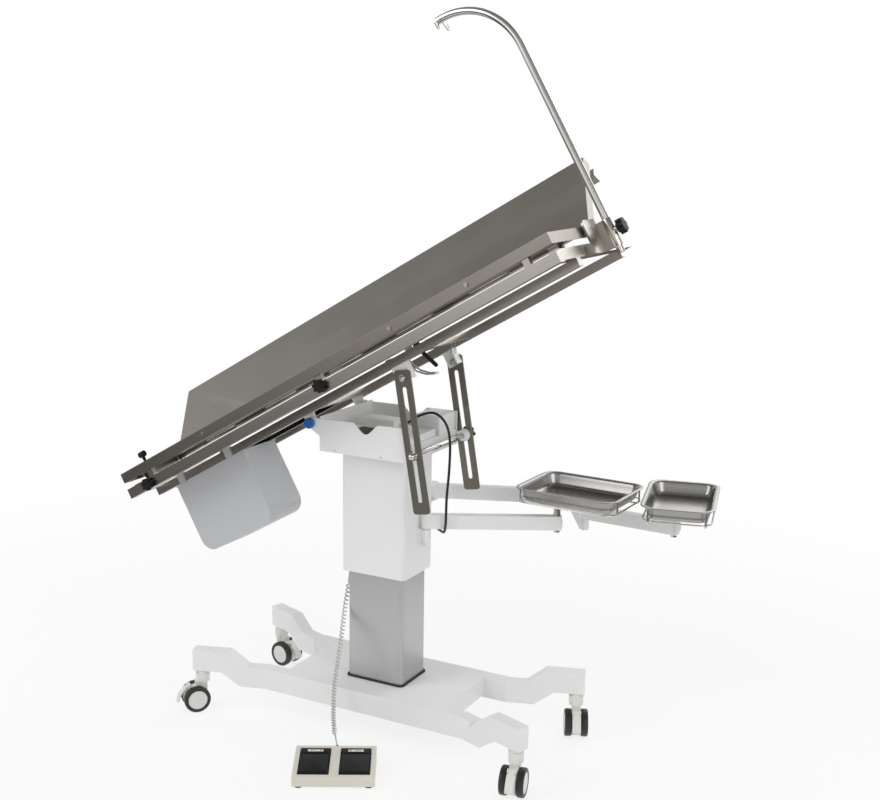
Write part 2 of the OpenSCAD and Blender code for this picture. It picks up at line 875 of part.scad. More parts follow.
module carriage_insert() {
    color(black) {
        span_box([insert_left, insert_near, carriage_z + wall_t], [insert_right, insert_far, insert_top_z]);
        span_box([insert_left, block_near, insert_top_z - eps], [block_right, insert_far, block_top_z]);
        translate([0, lead_route[0].y, lead_route[0].z])
            x_rod(block_right - eps, lead_route[0].x - part_gap, lead_gland_r);
    }
}

module control_box() {
    color(white) translate([(control_left + control_right) / 2, (control_near + control_far) / 2,
        control_bottom_z])
        linear_extrude(control_top_z - control_bottom_z)
            rounded_rect(control_right - control_left, control_far - control_near, control_r);
}

module tilt_rod() {
    color(chrome) translate([pivot_x, 0, pivot_z]) y_rod(-carriage_half, carriage_half, pivot_rod_r);
}

module tilt_caps() {
    color(blue) for (my = [0, 1]) mirror([0, my, 0]) translate([pivot_x, 0, pivot_z]) {
        y_rod(carriage_half, carriage_half + cap_t - cap_step, cap_r);
        y_rod(carriage_half, carriage_half + cap_t, cap_r - cap_step);
    }
}

module crossbar() {
    color(chrome) translate([crossbar_x, 0, crossbar_z]) {
        y_rod(-boss_in, boss_in, bar_r);
        y_rod(-ball_y, ball_y, stud_r);
        washer_y = link_in + link_t + part_gap;
        for (my = [0, 1]) mirror([0, my, 0]) y_rod(washer_y, washer_y + washer_t, washer_r);
        translate([0, -ball_y, 0]) sphere(ball_r);
    }
}

module crossbar_knob() {
    color(black) translate([crossbar_x, link_in + link_t + washer_t + 2 * part_gap, crossbar_z])
        rotate([-90, 0, 0]) lobed_knob(knob_r, knob_t, stud_r + run_gap);
}

// the brackets that carry the two tray arms and the cord glands
module arm_brackets() {
    color(white) {
        low = arm_a_z - arm_a_clevis_t - part_gap;
        high = arm_a_z + arm_height + part_gap;
        for (z = [low, high]) {
            span_box([arm_a_pivot.x - arm_end_r, shroud_depth / 2, z],
                [arm_a_pivot.x + arm_end_r, arm_a_pivot.y, z + arm_a_clevis_t]);
            translate([arm_a_pivot.x, arm_a_pivot.y, z]) cylinder(h = arm_a_clevis_t, r = arm_end_r);
        }
        span_box([arm_a_pivot.x - arm_end_r, shroud_depth / 2, low],
            [arm_a_pivot.x + arm_end_r, shroud_depth / 2 + arm_a_clevis_t, high + arm_a_clevis_t]);
        translate([arm_a_pivot.x, arm_a_pivot.y, low]) cylinder(h = high - low, r = arm_pin_r);
        span_box([shroud_length / 2, arm_b_pivot.y - arm_end_r, arm_b_bracket_low],
            [shroud_length / 2 + wall_t, arm_b_pivot.y + arm_b_bracket_back, arm_b_bracket_top]);
        difference() {
            union() {
                translate([arm_b_pivot.x, arm_b_pivot.y, arm_b_barrel_low])
                    cylinder(h = arm_b_barrel_top - arm_b_barrel_low, r = barrel_r);
                span_box([shroud_length / 2 + wall_t - eps, arm_b_pivot.y - arm_b_web, arm_b_barrel_low],
                    [arm_b_pivot.x, arm_b_pivot.y + arm_b_web, arm_b_barrel_top]);
            }
            translate([arm_b_pivot.x, arm_b_pivot.y, arm_b_barrel_low - eps])
                cylinder(h = arm_b_barrel_top - arm_b_barrel_low + 2 * eps, r = arm_b_pin_r + run_gap);
        }
        lead_end = lead_route[len(lead_route) - 1];
        translate([0, lead_end.y, lead_end.z]) x_rod(shroud_length / 2, lead_end.x - part_gap, lead_gland_r);
        curl_end = curl_route[len(curl_route) - 1];
        translate([gland_curl.x, gland_curl.y, curl_end.z + part_gap])
            cylinder(h = shroud_bottom_z - curl_end.z - part_gap, r = lead_gland_r);
        span_box([gland_curl.x - lead_gland_r, gland_curl.y - lead_gland_r, shroud_bottom_z],
            [-shroud_length / 2, gland_curl.y + lead_gland_r, shroud_bottom_z + wall_t]);
    }
}

// table
module table_frame() {
    color(steel) in_table() {
        for (u = [end_beam_u, top_length - end_beam_u - end_beam_w]) {
            span_box([u, -end_beam_half, end_beam_n0], [u + end_beam_w, end_beam_half, end_beam_n1]);
            for (sv = [-1, 1]) translate([u + end_beam_w / 2, sv * bumper_v, end_beam_n1])
                cylinder(h = bumper_top - end_beam_n1, r = bumper_r);
        }
        for (v = [-rail_out, rail_in])
            span_box([end_beam_u, v, rail_bottom],
                [top_length - end_beam_u, v + rail_out - rail_in, rail_top]);
        for (u = cross_us) span_box([u, -rail_in - eps, cross_n0], [u + cross_w, rail_in + eps, cross_n1]);
        span_box([end_beam_u + eps, 0, cross_n0], [cross_us[0] + eps, runner_v, cross_n1]);
        span_box([end_beam_u + eps, 0, cross_n0], [end_beam_u + end_beam_w, runner_v, end_beam_n0 + eps]);
        span_box([strap_u, -strap_half, end_beam_n0], [strap_u + strap_w, strap_half, end_beam_n0 + strap_t]);
    }
}

module hinge_brackets() {
    color(white) in_table() for (my = [0, 1]) mirror([0, my, 0]) difference() {
        y_plate(hinge_plate_in, rail_in) {
            polygon([[pivot_u - hinge_plate_half, hinge_plate_top],
                [pivot_u + hinge_plate_half, hinge_plate_top],
                [pivot_u + ear_r, -pivot_n], [pivot_u - ear_r, -pivot_n]]);
            translate([pivot_u, -pivot_n]) circle(ear_r);
        }
        translate([pivot_u, 0, -pivot_n]) y_rod(hinge_plate_in - eps, rail_in + eps, pivot_rod_r + run_gap);
    }
}

module link_brackets() {
    color(white) in_table() for (my = [0, 1]) mirror([0, my, 0]) difference() {
        union() {
            y_plate(bracket_in, bracket_in + bracket_t) {
                translate([pin_u - bracket_half, pin_n]) square([2 * bracket_half, rail_bottom - pin_n]);
                translate([pin_u - bracket_half, fold_n]) square([2 * bracket_half, rail_bottom - fold_n]);
            }
            span_box([pin_u - bracket_half, flange_in, rail_bottom - bracket_t],
                [pin_u + bracket_half, bracket_in + bracket_t, rail_bottom]);
            span_box([pin_u + bracket_half - bracket_t, fold_in, fold_n],
                [pin_u + bracket_half, bracket_in + bracket_t, rail_bottom]);
        }
        translate([pin_u, 0, pin_n]) y_rod(fold_in, bracket_in + 2 * bracket_t, stud_r);
    }
}

module link_bolts() {
    color(chrome) in_table() for (my = [0, 1]) mirror([0, my, 0]) translate([pin_u, 0, pin_n]) {
        y_rod(bracket_in - bolt_h, link_in + link_t + bolt_h, stud_r);
        y_rod(bracket_in - bolt_h, bracket_in, 2 * stud_r);
        y_rod(link_in + link_t + part_gap, link_in + link_t + bolt_h, 2 * stud_r);
    }
}

module cross_shaft() {
    color(chrome) in_table() {
        translate([shaft_u, 0, shaft_n]) y_rod(-shaft_half - eps, shaft_half + eps, shaft_r);
        for (my = [0, 1]) mirror([0, my, 0])
            span_box([shaft_u - lug_half, shaft_half, lug_n0], [shaft_u + lug_half, rail_in, lug_n1]);
    }
}

module table_lever() {
    color(black) in_table() translate([shaft_u, lever_v, shaft_n]) difference() {
        union() {
            y_rod(-lever_w / 2, lever_w / 2, lever_hub_r);
            rod([lever_du, 0, lever_dn] * lever_root_share, [lever_du, 0, lever_dn], lever_r1);
            translate([lever_du, 0, lever_dn]) sphere(lever_r1);
        }
        y_rod(-lever_w, lever_w, shaft_r + run_gap);
    }
}

module rod_loops() {
    color(chrome) in_table() {
        for (v = near_loop_vs) wire([for (p = near_loop) [p.x, v, p.y]], loop_r);
        rod([near_loop[4].x, near_loop_vs[0], near_loop[4].y],
            [near_loop[4].x, near_loop_vs[1], near_loop[4].y],
            loop_r);
        for (v = near_loop_vs) translate([near_loop[4].x, v, near_loop[4].y]) sphere(loop_r * joint_scale);
        for (v = far_loop_vs) wire([for (p = far_loop) [p.x, v, p.y]], loop_r);
        rod([far_loop[3].x, far_loop_vs[0], far_loop[3].y], [far_loop[3].x, far_loop_vs[1], far_loop[3].y],
            loop_r);
        for (v = far_loop_vs) translate([far_loop[3].x, v, far_loop[3].y]) sphere(loop_r * joint_scale);
    }
}

module hinge_rod() {
    color(steel) in_table() {
        translate([0, 0, hinge_n]) x_rod(-foot_plate_gap - eps, plate_u, hinge_rod_r);
        span_box([-foot_plate_gap - foot_plate_t, -foot_plate_half, end_beam_n0],
            [-foot_plate_gap, foot_plate_half, 0]);
        span_box([-foot_plate_gap - eps, -foot_plate_half, end_beam_n0],
            [end_beam_u, foot_plate_half, spacer_n1]);
    }
}

module wing_pan(first) {
    seg = top_length / knuckle_count;
    difference() {
        union() {
            span_box([0, pan_edge, -sheet_t], [top_length, wing_width, 0]);
            span_box([0, wing_width - sheet_t, -lip_depth], [top_length, wing_width, 0]);
            for (u = [0, top_length - sheet_t])
                span_box([u, pan_edge, -lip_depth], [u + sheet_t, wing_width, 0]);
            for (k = [first:2:knuckle_count - 1]) translate([k * seg + knuckle_gap, 0, 0]) {
                translate([0, 0, hinge_n]) x_rod(0, seg - 2 * knuckle_gap, knuckle_r);
                span_box([0, 0, -sheet_t], [seg - 2 * knuckle_gap, pan_edge + eps, 0]);
            }
        }
        translate([0, 0, hinge_n]) x_rod(-eps, top_length + eps, hinge_rod_r + run_gap);
    }
}

module wing_rail() {
    span_box([0, wing_rail_in, wing_rail_bottom], [top_length, wing_rail_out, wing_rail_top]);
    for (u = standoff_us) span_box([u - standoff_w / 2, standoff_in, wing_rail_top - eps],
        [u + standoff_w / 2, standoff_out, -sheet_t]);
    for (u = bolt_us) translate([u, 0, bolt_n]) y_rod(wing_width, wing_width + bolt_h, bolt_r);
}

module rail_studs() {
    for (i = [0, 1]) translate([rail_knob_us[i], 0, rail_knob_ns[i]])
        y_rod(wing_rail_out - eps, wing_rail_out + rail_knob_gap + rail_knob_t * stud_share, screw_shaft_r);
}

module near_pan() { color(steel) on_near_wing() wing_pan(0); }
module far_pan() { color(steel) on_far_wing() wing_pan(1); }
module near_rail() {
    color(steel) on_near_wing() {
        wing_rail();
        rail_studs();
    }
}

module far_rail() { color(steel) on_far_wing() wing_rail(); }

module tie_cleat() {
    color(black) on_near_wing() translate([cleat_u, cleat_v, 0]) {
        cylinder(h = cleat_h - cleat_r, r = cleat_r / 2);
        translate([0, 0, cleat_h - cleat_r]) rotate([0, 90, 0]) translate([0, 0, -cleat_r])
            cylinder(h = 2 * cleat_r, r = cleat_r);
    }
}

module rail_knob(i) {
    color(black) on_near_wing() translate([rail_knob_us[i], wing_rail_out + rail_knob_gap, rail_knob_ns[i]])
        rotate([-90, 0, 0]) lobed_knob(rail_knob_r, rail_knob_t, screw_shaft_r + run_gap);
}

module rail_knob_mid() { rail_knob(0); }
module rail_knob_foot() { rail_knob(1); }

module pole_bracket() {
    color(steel) in_table() {
        translate([plate_u, 0, 0]) rotate([90, 0, 90]) linear_extrude(plate_t)
            translate([0, (plate_n0 + plate_n1) / 2])
                rounded_rect(2 * plate_half, plate_n1 - plate_n0, plate_r);
        span_box([top_length - end_beam_u, -spacer_half, end_beam_n0],
            [plate_u + eps, spacer_half, spacer_n1]);
        difference() {
            union() {
                translate([pole_u, pole_v, sleeve_n0]) cylinder(h = -sleeve_n0, r = sleeve_r);
                span_box([plate_u + eps, pole_v - boss_knob_r, sleeve_n0], [pole_u, pole_v + boss_knob_r, 0]);
                translate([0, pole_v, knob_n]) x_rod(pole_u, boss_knob_u, boss_knob_r);
            }
            translate([pole_u, pole_v, sleeve_n0 - eps])
                cylinder(h = -sleeve_n0 + 2 * eps, r = pole_d / 2 + run_gap);
            translate([0, pole_v, knob_n]) x_rod(pole_u, boss_knob_u + eps, screw_shaft_r + run_gap);
        }
    }
}

module drip_pole() {
    color(chrome) in_table() translate([pole_u, pole_v, 0]) {
        translate([0, 0, pole_n0]) cylinder(h = pole_rise - pole_n0, r = pole_d / 2);
        translate([-pole_bend_r, 0, pole_rise]) rotate([90, 0, 0]) rotate_extrude(angle = 90)
            translate([pole_bend_r, 0]) circle(pole_d / 2);
        for (sv = [-1, 1]) translate([-pole_bend_r, 0, pole_rise + pole_bend_r]) wire([
            [hook_r * 3, 0, 0], [hook_r * 3, sv * (pole_d / 2 + hook_drop * 0.2), -hook_drop * 0.3],
            [hook_r * 3, sv * (pole_d / 2 + hook_drop * 0.5), -hook_drop],
            [hook_r * 3, sv * (pole_d / 2 + hook_drop * 0.8), -hook_drop],
            [hook_r * 3, sv * hook_reach, -hook_drop * 0.4]], hook_r);
    }
}

module pole_knob() {
    color(black) in_table() translate([knob_u, pole_v, knob_n]) rotate([0, 90, 0]) {
        lobed_knob(pole_knob_r, pole_knob_t, 0);
        translate([0, 0, pole_u + pole_d / 2 + part_gap - knob_u])
            cylinder(h = knob_u - pole_u - pole_d / 2 - part_gap + knob_bite, r = screw_shaft_r);
    }
}

module bucket() {
    color(clear_grey) in_table() translate([bucket_u, bucket_v0, bucket_n1 - bucket_depth]) {
        difference() {
            bucket_body(0);
            bucket_body(bucket_wall);
        }
        difference() {
            span_box([-bucket_rim, 0, bucket_depth - bucket_wall],
                [bucket_length + bucket_rim, bucket_width, bucket_depth]);
            span_box([bucket_wall, bucket_wall, bucket_depth - 2 * bucket_wall],
                [bucket_length - bucket_wall, bucket_width - bucket_wall, bucket_depth + eps]);
        }
    }
    color(clear_grey) in_table() for (u = hook_us) {
        rail_hook(u, -rail_out, -1, rail_top);
        rail_hook(u, runner_v, 1, cross_n1);
    }
}

// the tub in its own corner frame: a profile along X with round lower corners
module bucket_body(inset) {
    translate([0, bucket_width - inset, 0]) rotate([90, 0, 0]) linear_extrude(bucket_width - 2 * inset) {
        r = bucket_r - inset;
        translate([inset + r, inset + r]) circle(r);
        translate([bucket_length - inset - r, inset + r]) circle(r);
        translate([inset, inset + r]) square([bucket_length - 2 * inset,
            bucket_depth - inset - r + (inset > 0 ? eps : 0)]);
        translate([inset + r, inset]) square([bucket_length - 2 * inset - 2 * r, r]);
    }
}

module rail_hook(u, v, side, top_n) {
    out = v + side * hook_gap;
    far = out + side * hook_t;
    span_box([u - hook_w / 2, min(out, far), bucket_n1 - hook_t],
        [u + hook_w / 2, max(out, far), top_n + hook_gap + hook_t]);
    back = v - side * 3 * hook_t;
    span_box([u - hook_w / 2, min(back, far), top_n + hook_gap],
        [u + hook_w / 2, max(back, far), top_n + hook_gap + hook_t]);
    span_box([u - hook_w / 2, min(v - side * 5 * hook_t, far), bucket_n1 - hook_t],
        [u + hook_w / 2, max(v - side * 5 * hook_t, far), bucket_n1]);
}

// links
module slotted_link() {
    in_table() translate([pin_u, 0, pin_n]) rotate([0, rest_tilt, 0]) rotate([0, -link_angle, 0])
        difference() {
        y_plate(link_in, link_in + link_t) difference() {
            translate([0, -link_length / 2 + link_top / 2])
                rounded_rect(link_width, link_length + link_top, link_r);
            for (z = [-slot_start - slot_width / 2, -slot_end + slot_width / 2])
                translate([0, z]) circle(slot_width / 2);
            translate([-slot_width / 2, -slot_end + slot_width / 2])
                square([slot_width, slot_end - slot_start - slot_width]);
        }
        y_rod(link_in - eps, link_in + link_t + eps, stud_r + run_gap);
    }
}

module near_link() { color(steel) mirror([0, 1, 0]) slotted_link(); }
module far_link() { color(steel) slotted_link(); }

// arms
module arm_tube(p, q, z, over) {
    d = q - p;
    translate([p.x, p.y, z]) rotate([0, 0, atan2(d.y, d.x)]) linear_extrude(arm_height) {
        translate([0, -arm_width / 2]) square([norm(d) + over, arm_width]);
        circle(arm_width / 2);
        if (over == 0) translate([norm(d), 0]) circle(arm_width / 2);
    }
}

module end_screws(p, z) {
    for (k = [0:2]) translate([p.x, p.y, z - screw_h]) rotate([0, 0, 120 * k]) translate([screw_ring, 0, 0])
        cylinder(h = screw_h + eps, r = screw_r);
}

module arm_a() {
    d = elbow - arm_a_pivot;
    color(white) difference() {
        union() {
            arm_tube(arm_a_pivot, elbow, arm_a_z, 0);
            translate([elbow.x, elbow.y, collar_low_z])
                cylinder(h = arm_a_z - collar_low_z + eps, r = arm_pin_r);
            translate([elbow.x, elbow.y, collar_low_z])
                cylinder(h = arm_two_z - part_gap - collar_low_z, r = barrel_r);
            end_screws(elbow, collar_low_z);
            translate([elbow.x, elbow.y, 0]) rotate([0, 0, atan2(d.y, d.x)]) y_plate(-gusset_t, gusset_t)
                polygon([[-gusset_len, arm_a_z + eps], [-gusset_near, arm_a_z + eps],
                    [-gusset_near, arm_two_z - 3 * part_gap], [0, arm_two_z - 3 * part_gap],
                    [0, collar_low_z + part_gap], [-gusset_near, collar_low_z + part_gap]]);
        }
        translate([arm_a_pivot.x, arm_a_pivot.y, arm_a_z - eps])
            cylinder(h = arm_height + 2 * eps, r = arm_pin_r + run_gap);
    }
}

module arm_two() {
    color(white) difference() {
        arm_tube(elbow, pin_two, arm_two_z, arm_over);
        translate([elbow.x, elbow.y, arm_two_z - eps])
            cylinder(h = arm_height + 2 * eps, r = arm_pin_r + run_gap);
        translate([pin_two.x, pin_two.y, arm_two_z - eps])
            cylinder(h = arm_height + 2 * eps, r = post_r + run_gap);
    }
}

module arm_b() {
    color(white) {
        difference() {
            arm_tube(arm_b_pivot, pin_b, arm_b_z, arm_over);
            translate([pin_b.x, pin_b.y, arm_b_z - eps])
                cylinder(h = arm_height + 2 * eps, r = post_r + run_gap);
        }
        translate([arm_b_pivot.x, arm_b_pivot.y, arm_b_barrel_low - part_gap - eps])
            cylinder(h = arm_b_z - arm_b_barrel_low + part_gap + 2 * eps, r = arm_b_pin_r);
        translate([arm_b_pivot.x, arm_b_pivot.y, arm_b_barrel_low - part_gap - 2 * screw_h])
            cylinder(h = 2 * screw_h, r = barrel_r - eps);
        end_screws(arm_b_pivot, arm_b_barrel_low - part_gap - 2 * screw_h);
    }
}

// a holder turns on its post; its own frame has +X along the tray
module tray_holder(pin, arm_z, tray, turn) {
    top = arm_z + arm_height;
    translate([pin.x, pin.y, 0]) {
        translate([0, 0, arm_z - cap_pin_h - part_gap]) cylinder(h = cap_pin_h, r = cap_pin_r);
        translate([0, 0, arm_z - part_gap - eps]) cylinder(h = holder_z + 2 * eps - arm_z, r = post_r);
        translate([0, 0, top + part_gap]) cylinder(h = holder_z + 2 * holder_wire_r - top, r = post_top_r);
    }
    translate([tray.x, tray.y, holder_z]) rotate([0, 0, turn]) {
        translate([0, 0, holder_wire_r]) linear_extrude(tray_gap_z - holder_wire_r)
            square([holder_plate_l, holder_plate_w], center = true);
        for (sy = [-1, 1]) {
            y = sy * (holder_plate_w / 2 - holder_wire_r);
            z0 = holder_wire_r;
            z1 = tray_rim_z - holder_z - tray_rim_h - part_gap;
            wire([[-wire_span / 2, y, z1 - holder_wire_r], [-wire_span / 2, y, z0 + 2 * holder_wire_r],
                [-wire_span / 2 + 2 * holder_wire_r, y, z0], [wire_span / 2 - 2 * holder_wire_r, y, z0],
                [wire_span / 2, y, z0 + 2 * holder_wire_r], [wire_span / 2, y, z1 - holder_wire_r]],
                    holder_wire_r);
        }
    }
}

module holder_one() { color(chrome) tray_holder(pin_b, arm_b_z, tray_one, tray_one_turn); }
module holder_two() { color(chrome) tray_holder(pin_two, arm_two_z, tray_two, tray_two_turn); }

module instrument_tray(tray, turn, width) {
    body_l = tray_length - 2 * tray_rim_w;
    body_w = width - 2 * tray_rim_w;
    translate([tray.x, tray.y, tray_rim_z - tray_depth]) rotate([0, 0, turn]) difference() {
        union() {
            linear_extrude(tray_depth) rounded_rect(body_l - tray_in, body_w - tray_in, tray_r - tray_rim_w);
            translate([0, 0, tray_depth - tray_rim_h]) linear_extrude(tray_rim_h)
                rounded_rect(tray_length, width, tray_r);
        }
        translate([0, 0, tray_wall]) linear_extrude(tray_depth)
            rounded_rect(body_l - tray_in - 2 * tray_wall, body_w - tray_in - 2 * tray_wall,
                tray_r - tray_rim_w - tray_wall);
    }
}

module tray_one_pan() { color(steel) instrument_tray(tray_one, tray_one_turn, tray_width); }
module tray_two_pan() { color(steel) instrument_tray(tray_two, tray_two_turn, tray_two_width); }

// drawing
base_frame();
column_tube();
column_gasket();
foot_housing();
foot_rubbers();
foot_pedal_left();
foot_pedal_right();
curly_cord();
caster_nl_body();
caster_fl_body();
caster_nr_body();
caster_fr_body();
caster_nl_wheels();
caster_fl_wheels();
caster_nr_wheels();
caster_fr_wheels();
caster_nl_brake();
caster_fl_brake();
caster_nr_brake();
caster_fr_brake();
shroud();
carriage();
carriage_insert();
control_box();
tilt_rod();
tilt_caps();
crossbar();
crossbar_knob();
arm_brackets();
control_lead();
table_frame();
hinge_brackets();
link_brackets();
cross_shaft();
rod_loops();
pole_bracket();
hinge_rod();
near_pan();
near_rail();
far_pan();
far_rail();
tie_cleat();
rail_knob_mid();
rail_knob_foot();
table_lever();
near_link();
far_link();
link_bolts();
drip_pole();
pole_knob();
bucket();
arm_a();
arm_two();
arm_b();
holder_one();
holder_two();
tray_one_pan();
tray_two_pan();
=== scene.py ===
# %% [markdown]
# Tilting operating table, dressed for a picture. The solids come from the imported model, in metres, and
# stay where they are. This lesson adds what solids alone don't show: broken edges, metal grain, coiled
# cords, pressed trays, rolling casters and fasteners. It starts by loading the model and noting its size.

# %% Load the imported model
import math

import bmesh
import bpy
from mathutils import Matrix, Vector


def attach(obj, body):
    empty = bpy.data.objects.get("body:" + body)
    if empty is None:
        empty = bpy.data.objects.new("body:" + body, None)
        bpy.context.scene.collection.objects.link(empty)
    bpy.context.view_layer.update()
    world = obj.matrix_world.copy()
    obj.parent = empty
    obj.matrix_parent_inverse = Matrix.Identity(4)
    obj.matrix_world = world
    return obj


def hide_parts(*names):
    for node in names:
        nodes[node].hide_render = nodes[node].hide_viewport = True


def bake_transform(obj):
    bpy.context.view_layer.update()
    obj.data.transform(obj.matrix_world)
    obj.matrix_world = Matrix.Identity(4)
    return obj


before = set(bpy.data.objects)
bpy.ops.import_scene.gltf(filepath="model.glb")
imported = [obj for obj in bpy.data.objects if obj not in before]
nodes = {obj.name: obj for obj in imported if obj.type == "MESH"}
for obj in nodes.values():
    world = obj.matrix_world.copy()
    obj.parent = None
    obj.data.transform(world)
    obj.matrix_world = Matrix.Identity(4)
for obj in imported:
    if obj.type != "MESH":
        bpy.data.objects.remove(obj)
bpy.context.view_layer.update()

# %% [markdown]
# The camera comes first, because every later choice is judged through it. Its place was solved from
# measured points of the table, so the matrix is written out: right, up and backward directions as columns.

# %% Camera
PICTURE = (880, 800)
FOCAL_PIXELS = 1326.86
right = Vector((0.87955, 0.47562, 0.01329))
up = Vector((-0.10748, 0.17139, 0.97932))
back = Vector((0.46351, -0.86279, 0.20186))
eye = Vector((1.7717, -3.0034, 1.6389))
lens = bpy.data.cameras.new("camera")
lens.sensor_width = 36
lens.lens = FOCAL_PIXELS * lens.sensor_width / PICTURE[0]
camera = bpy.data.objects.new("camera", lens)
camera.matrix_world = Matrix([[right[i], up[i], back[i], eye[i]] for i in range(3)] + [[0, 0, 0, 1]])
bpy.context.scene.collection.objects.link(camera)
bpy.context.scene.camera = camera
print("camera lens", round(lens.lens, 2), "mm")

# %% [markdown]
# A cord is a line first and a tube second. A few listed points are joined by a smooth spline, so that
# the cord has no kinks, and the same spline is walked at an even pace to wind the curls. A curve object
# could draw the tube as well; here it is a mesh.

# %% Smooth lines and tubes
def spline(points, fine=6):
    """a smooth line through all the points"""
    points = [Vector(p) for p in points]
    line = []
    for i in range(len(points) - 1):
        a, b, c, d = (points[max(0, min(len(points) - 1, i + k))] for k in (-1, 0, 1, 2))
        for k in range(fine):
            t = k / fine
            line.append(0.5 * (2 * b + (c - a) * t + (2 * a - 5 * b + 4 * c - d) * t * t
                               + (3 * b - a - 3 * c + d) * t ** 3))
    return line + [points[-1]]


def length_of(line):
    return sum((q - p).length for p, q in zip(line, line[1:]))


def walk(line, distance):
    """the point that lies this far along the line"""
    for p, q in zip(line, line[1:]):
        step = (q - p).length
        if distance <= step:
            return p.lerp(q, max(0, distance / step))
        distance -= step
    return line[-1].copy()


# %% A tube along a line
def new_object(name, mesh, body, material=None):
    """links a finished mesh, gives it its finish and lets it ride on a body"""
    thing = bpy.data.objects.new(name, mesh)
    bpy.context.scene.collection.objects.link(thing)
    if material:
        mesh.materials.append(material)
    if body:
        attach(thing, body)
    return thing


def tube_mesh(name, line, radius, sides=10):
    """a closed round tube; each ring keeps the turn of the one before it, so the tube doesn't twist"""
    verts, faces = [], []
    side = None
    for i, p in enumerate(line):
        ahead = (line[min(i + 1, len(line) - 1)] - line[max(i - 1, 0)]).normalized()
        side = ahead.orthogonal() if side is None else side - side.dot(ahead) * ahead
        side.normalize()
        other = ahead.cross(side)
        r = radius(i / (len(line) - 1)) if callable(radius) else radius
        verts += [p + r * (math.cos(a) * side + math.sin(a) * other)
                  for a in (2 * math.pi * k / sides for k in range(sides))]
    for i in range(len(line) - 1):
        for k in range(sides):
            n = (k + 1) % sides
            faces.append((i * sides + k, i * sides + n, (i + 1) * sides + n, (i + 1) * sides + k))
    faces += [tuple(reversed(range(sides))), tuple(range(len(verts) - sides, len(verts)))]
    mesh = bpy.data.meshes.new(name)
    mesh.from_pydata(verts, [], faces)
    mesh.polygons.foreach_set("use_smooth", [len(f.vertices) == 4 for f in mesh.polygons])
    return mesh


# %% [markdown]
# The foot switch hangs on a curly cord: a thin strand wound round a guide line. The curls are close near the
# switch and are drawn apart higher up by the cord's own weight, so the pitch grows along the guide.

# %% Curly cord route
MM = 0.001
CURL_ROUTE = [
    [7.2, -266, 30], [-2, -253, 33], [-20, -236, 52], [-33, -222, 84], [-42, -208, 118],
    [-51, -190, 160], [-58, -165, 208], [-66, -138, 250], [-76, -110, 288], [-88, -82, 320],
    [-99, -56, 347], [-106, -36, 372], [-110, -22, 398], [-111, -16, 418], [-111, -15, 439]]
STRAND, CURL_WIDTH, CURLS = 4 * MM, 14 * MM, 46
CLOSE_PITCH, OPEN_PITCH = 6.3 * MM, 12.2 * MM
OPENING_TURN, CURL_START = 0.8, Vector((1, 0.12, 0))
guide = spline([Vector(p) * MM for p in CURL_ROUTE])
guide_length = length_of(guide)
lead_in = (guide_length - CURLS * (CLOSE_PITCH + OPEN_PITCH) / 2) / 2
print("curly cord guide", round(guide_length, 4), "m, straight ends", round(lead_in, 4), "m")


# %% Wind the curls
def curl_point(turn):
    """a point on the strand after so many turns"""
    at = lead_in + turn * CLOSE_PITCH + (OPEN_PITCH - CLOSE_PITCH) * turn * turn / (2 * CURLS)
    centre = walk(guide, at)
    ahead = (walk(guide, at + STRAND) - walk(guide, at - STRAND)).normalized()
    side = CURL_START.cross(ahead).normalized()
    swing = (CURL_WIDTH - STRAND) / 2 * min(1, turn / OPENING_TURN, (CURLS - turn) / OPENING_TURN)
    angle = 2 * math.pi * turn
    return centre + swing * (math.cos(angle) * side + math.sin(angle) * ahead.cross(side))


TURN_POINTS = 14
strand = [guide[0], walk(guide, STRAND)]
strand += [curl_point(k / TURN_POINTS) for k in range(CURLS * TURN_POINTS + 1)]
strand += [walk(guide, guide_length - STRAND), guide[-1]]
curly = new_object("curly_cord_strand", tube_mesh("curly_cord_strand", strand, STRAND / 2, 8), None)
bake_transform(curly)
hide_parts("curly_cord")
print("curly cord strand", round(length_of(strand), 3), "m in", CURLS, "curls")

# %% [markdown]
# A plain black lead leaves the control tray, arches over its rim and drops to a gland under the arm bracket.
# Its stiffness shows in the wide arch, so the same spline is used without curls.

# %% Control lead
LEAD_ROUTE = [
    [39, 14, 858], [48, 14, 859], [62, 12, 865], [78, 9, 876], [94, 7, 886], [114, 6, 894],
    [135, 6, 898], [154, 6, 892], [169, 7, 878], [180, 9, 854], [185, 10, 812], [183, 10, 742],
    [178, 8, 671], [178, 6, 620], [177, 6, 597], [173, 9, 579], [165, 17, 571], [153, 28, 569],
    [139, 39, 569], [126, 47, 569.5], [111, 49, 570]]
LEAD_WIDTH = 7 * MM
lead_line = spline([Vector(p) * MM for p in LEAD_ROUTE], 4)
lead = new_object("control_lead_sheath", tube_mesh("control_lead_sheath", lead_line, LEAD_WIDTH / 2, 12),
                  "lift_head")
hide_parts("control_lead")
print("control lead", round(length_of(lead_line), 3), "m")

# %% [markdown]
# Finishes. Every one starts from the same shader and differs in its colour, its roughness and a fine bump.
# The coordinates are the object's own, in metres, so the grain keeps its real size and moves with the piece.

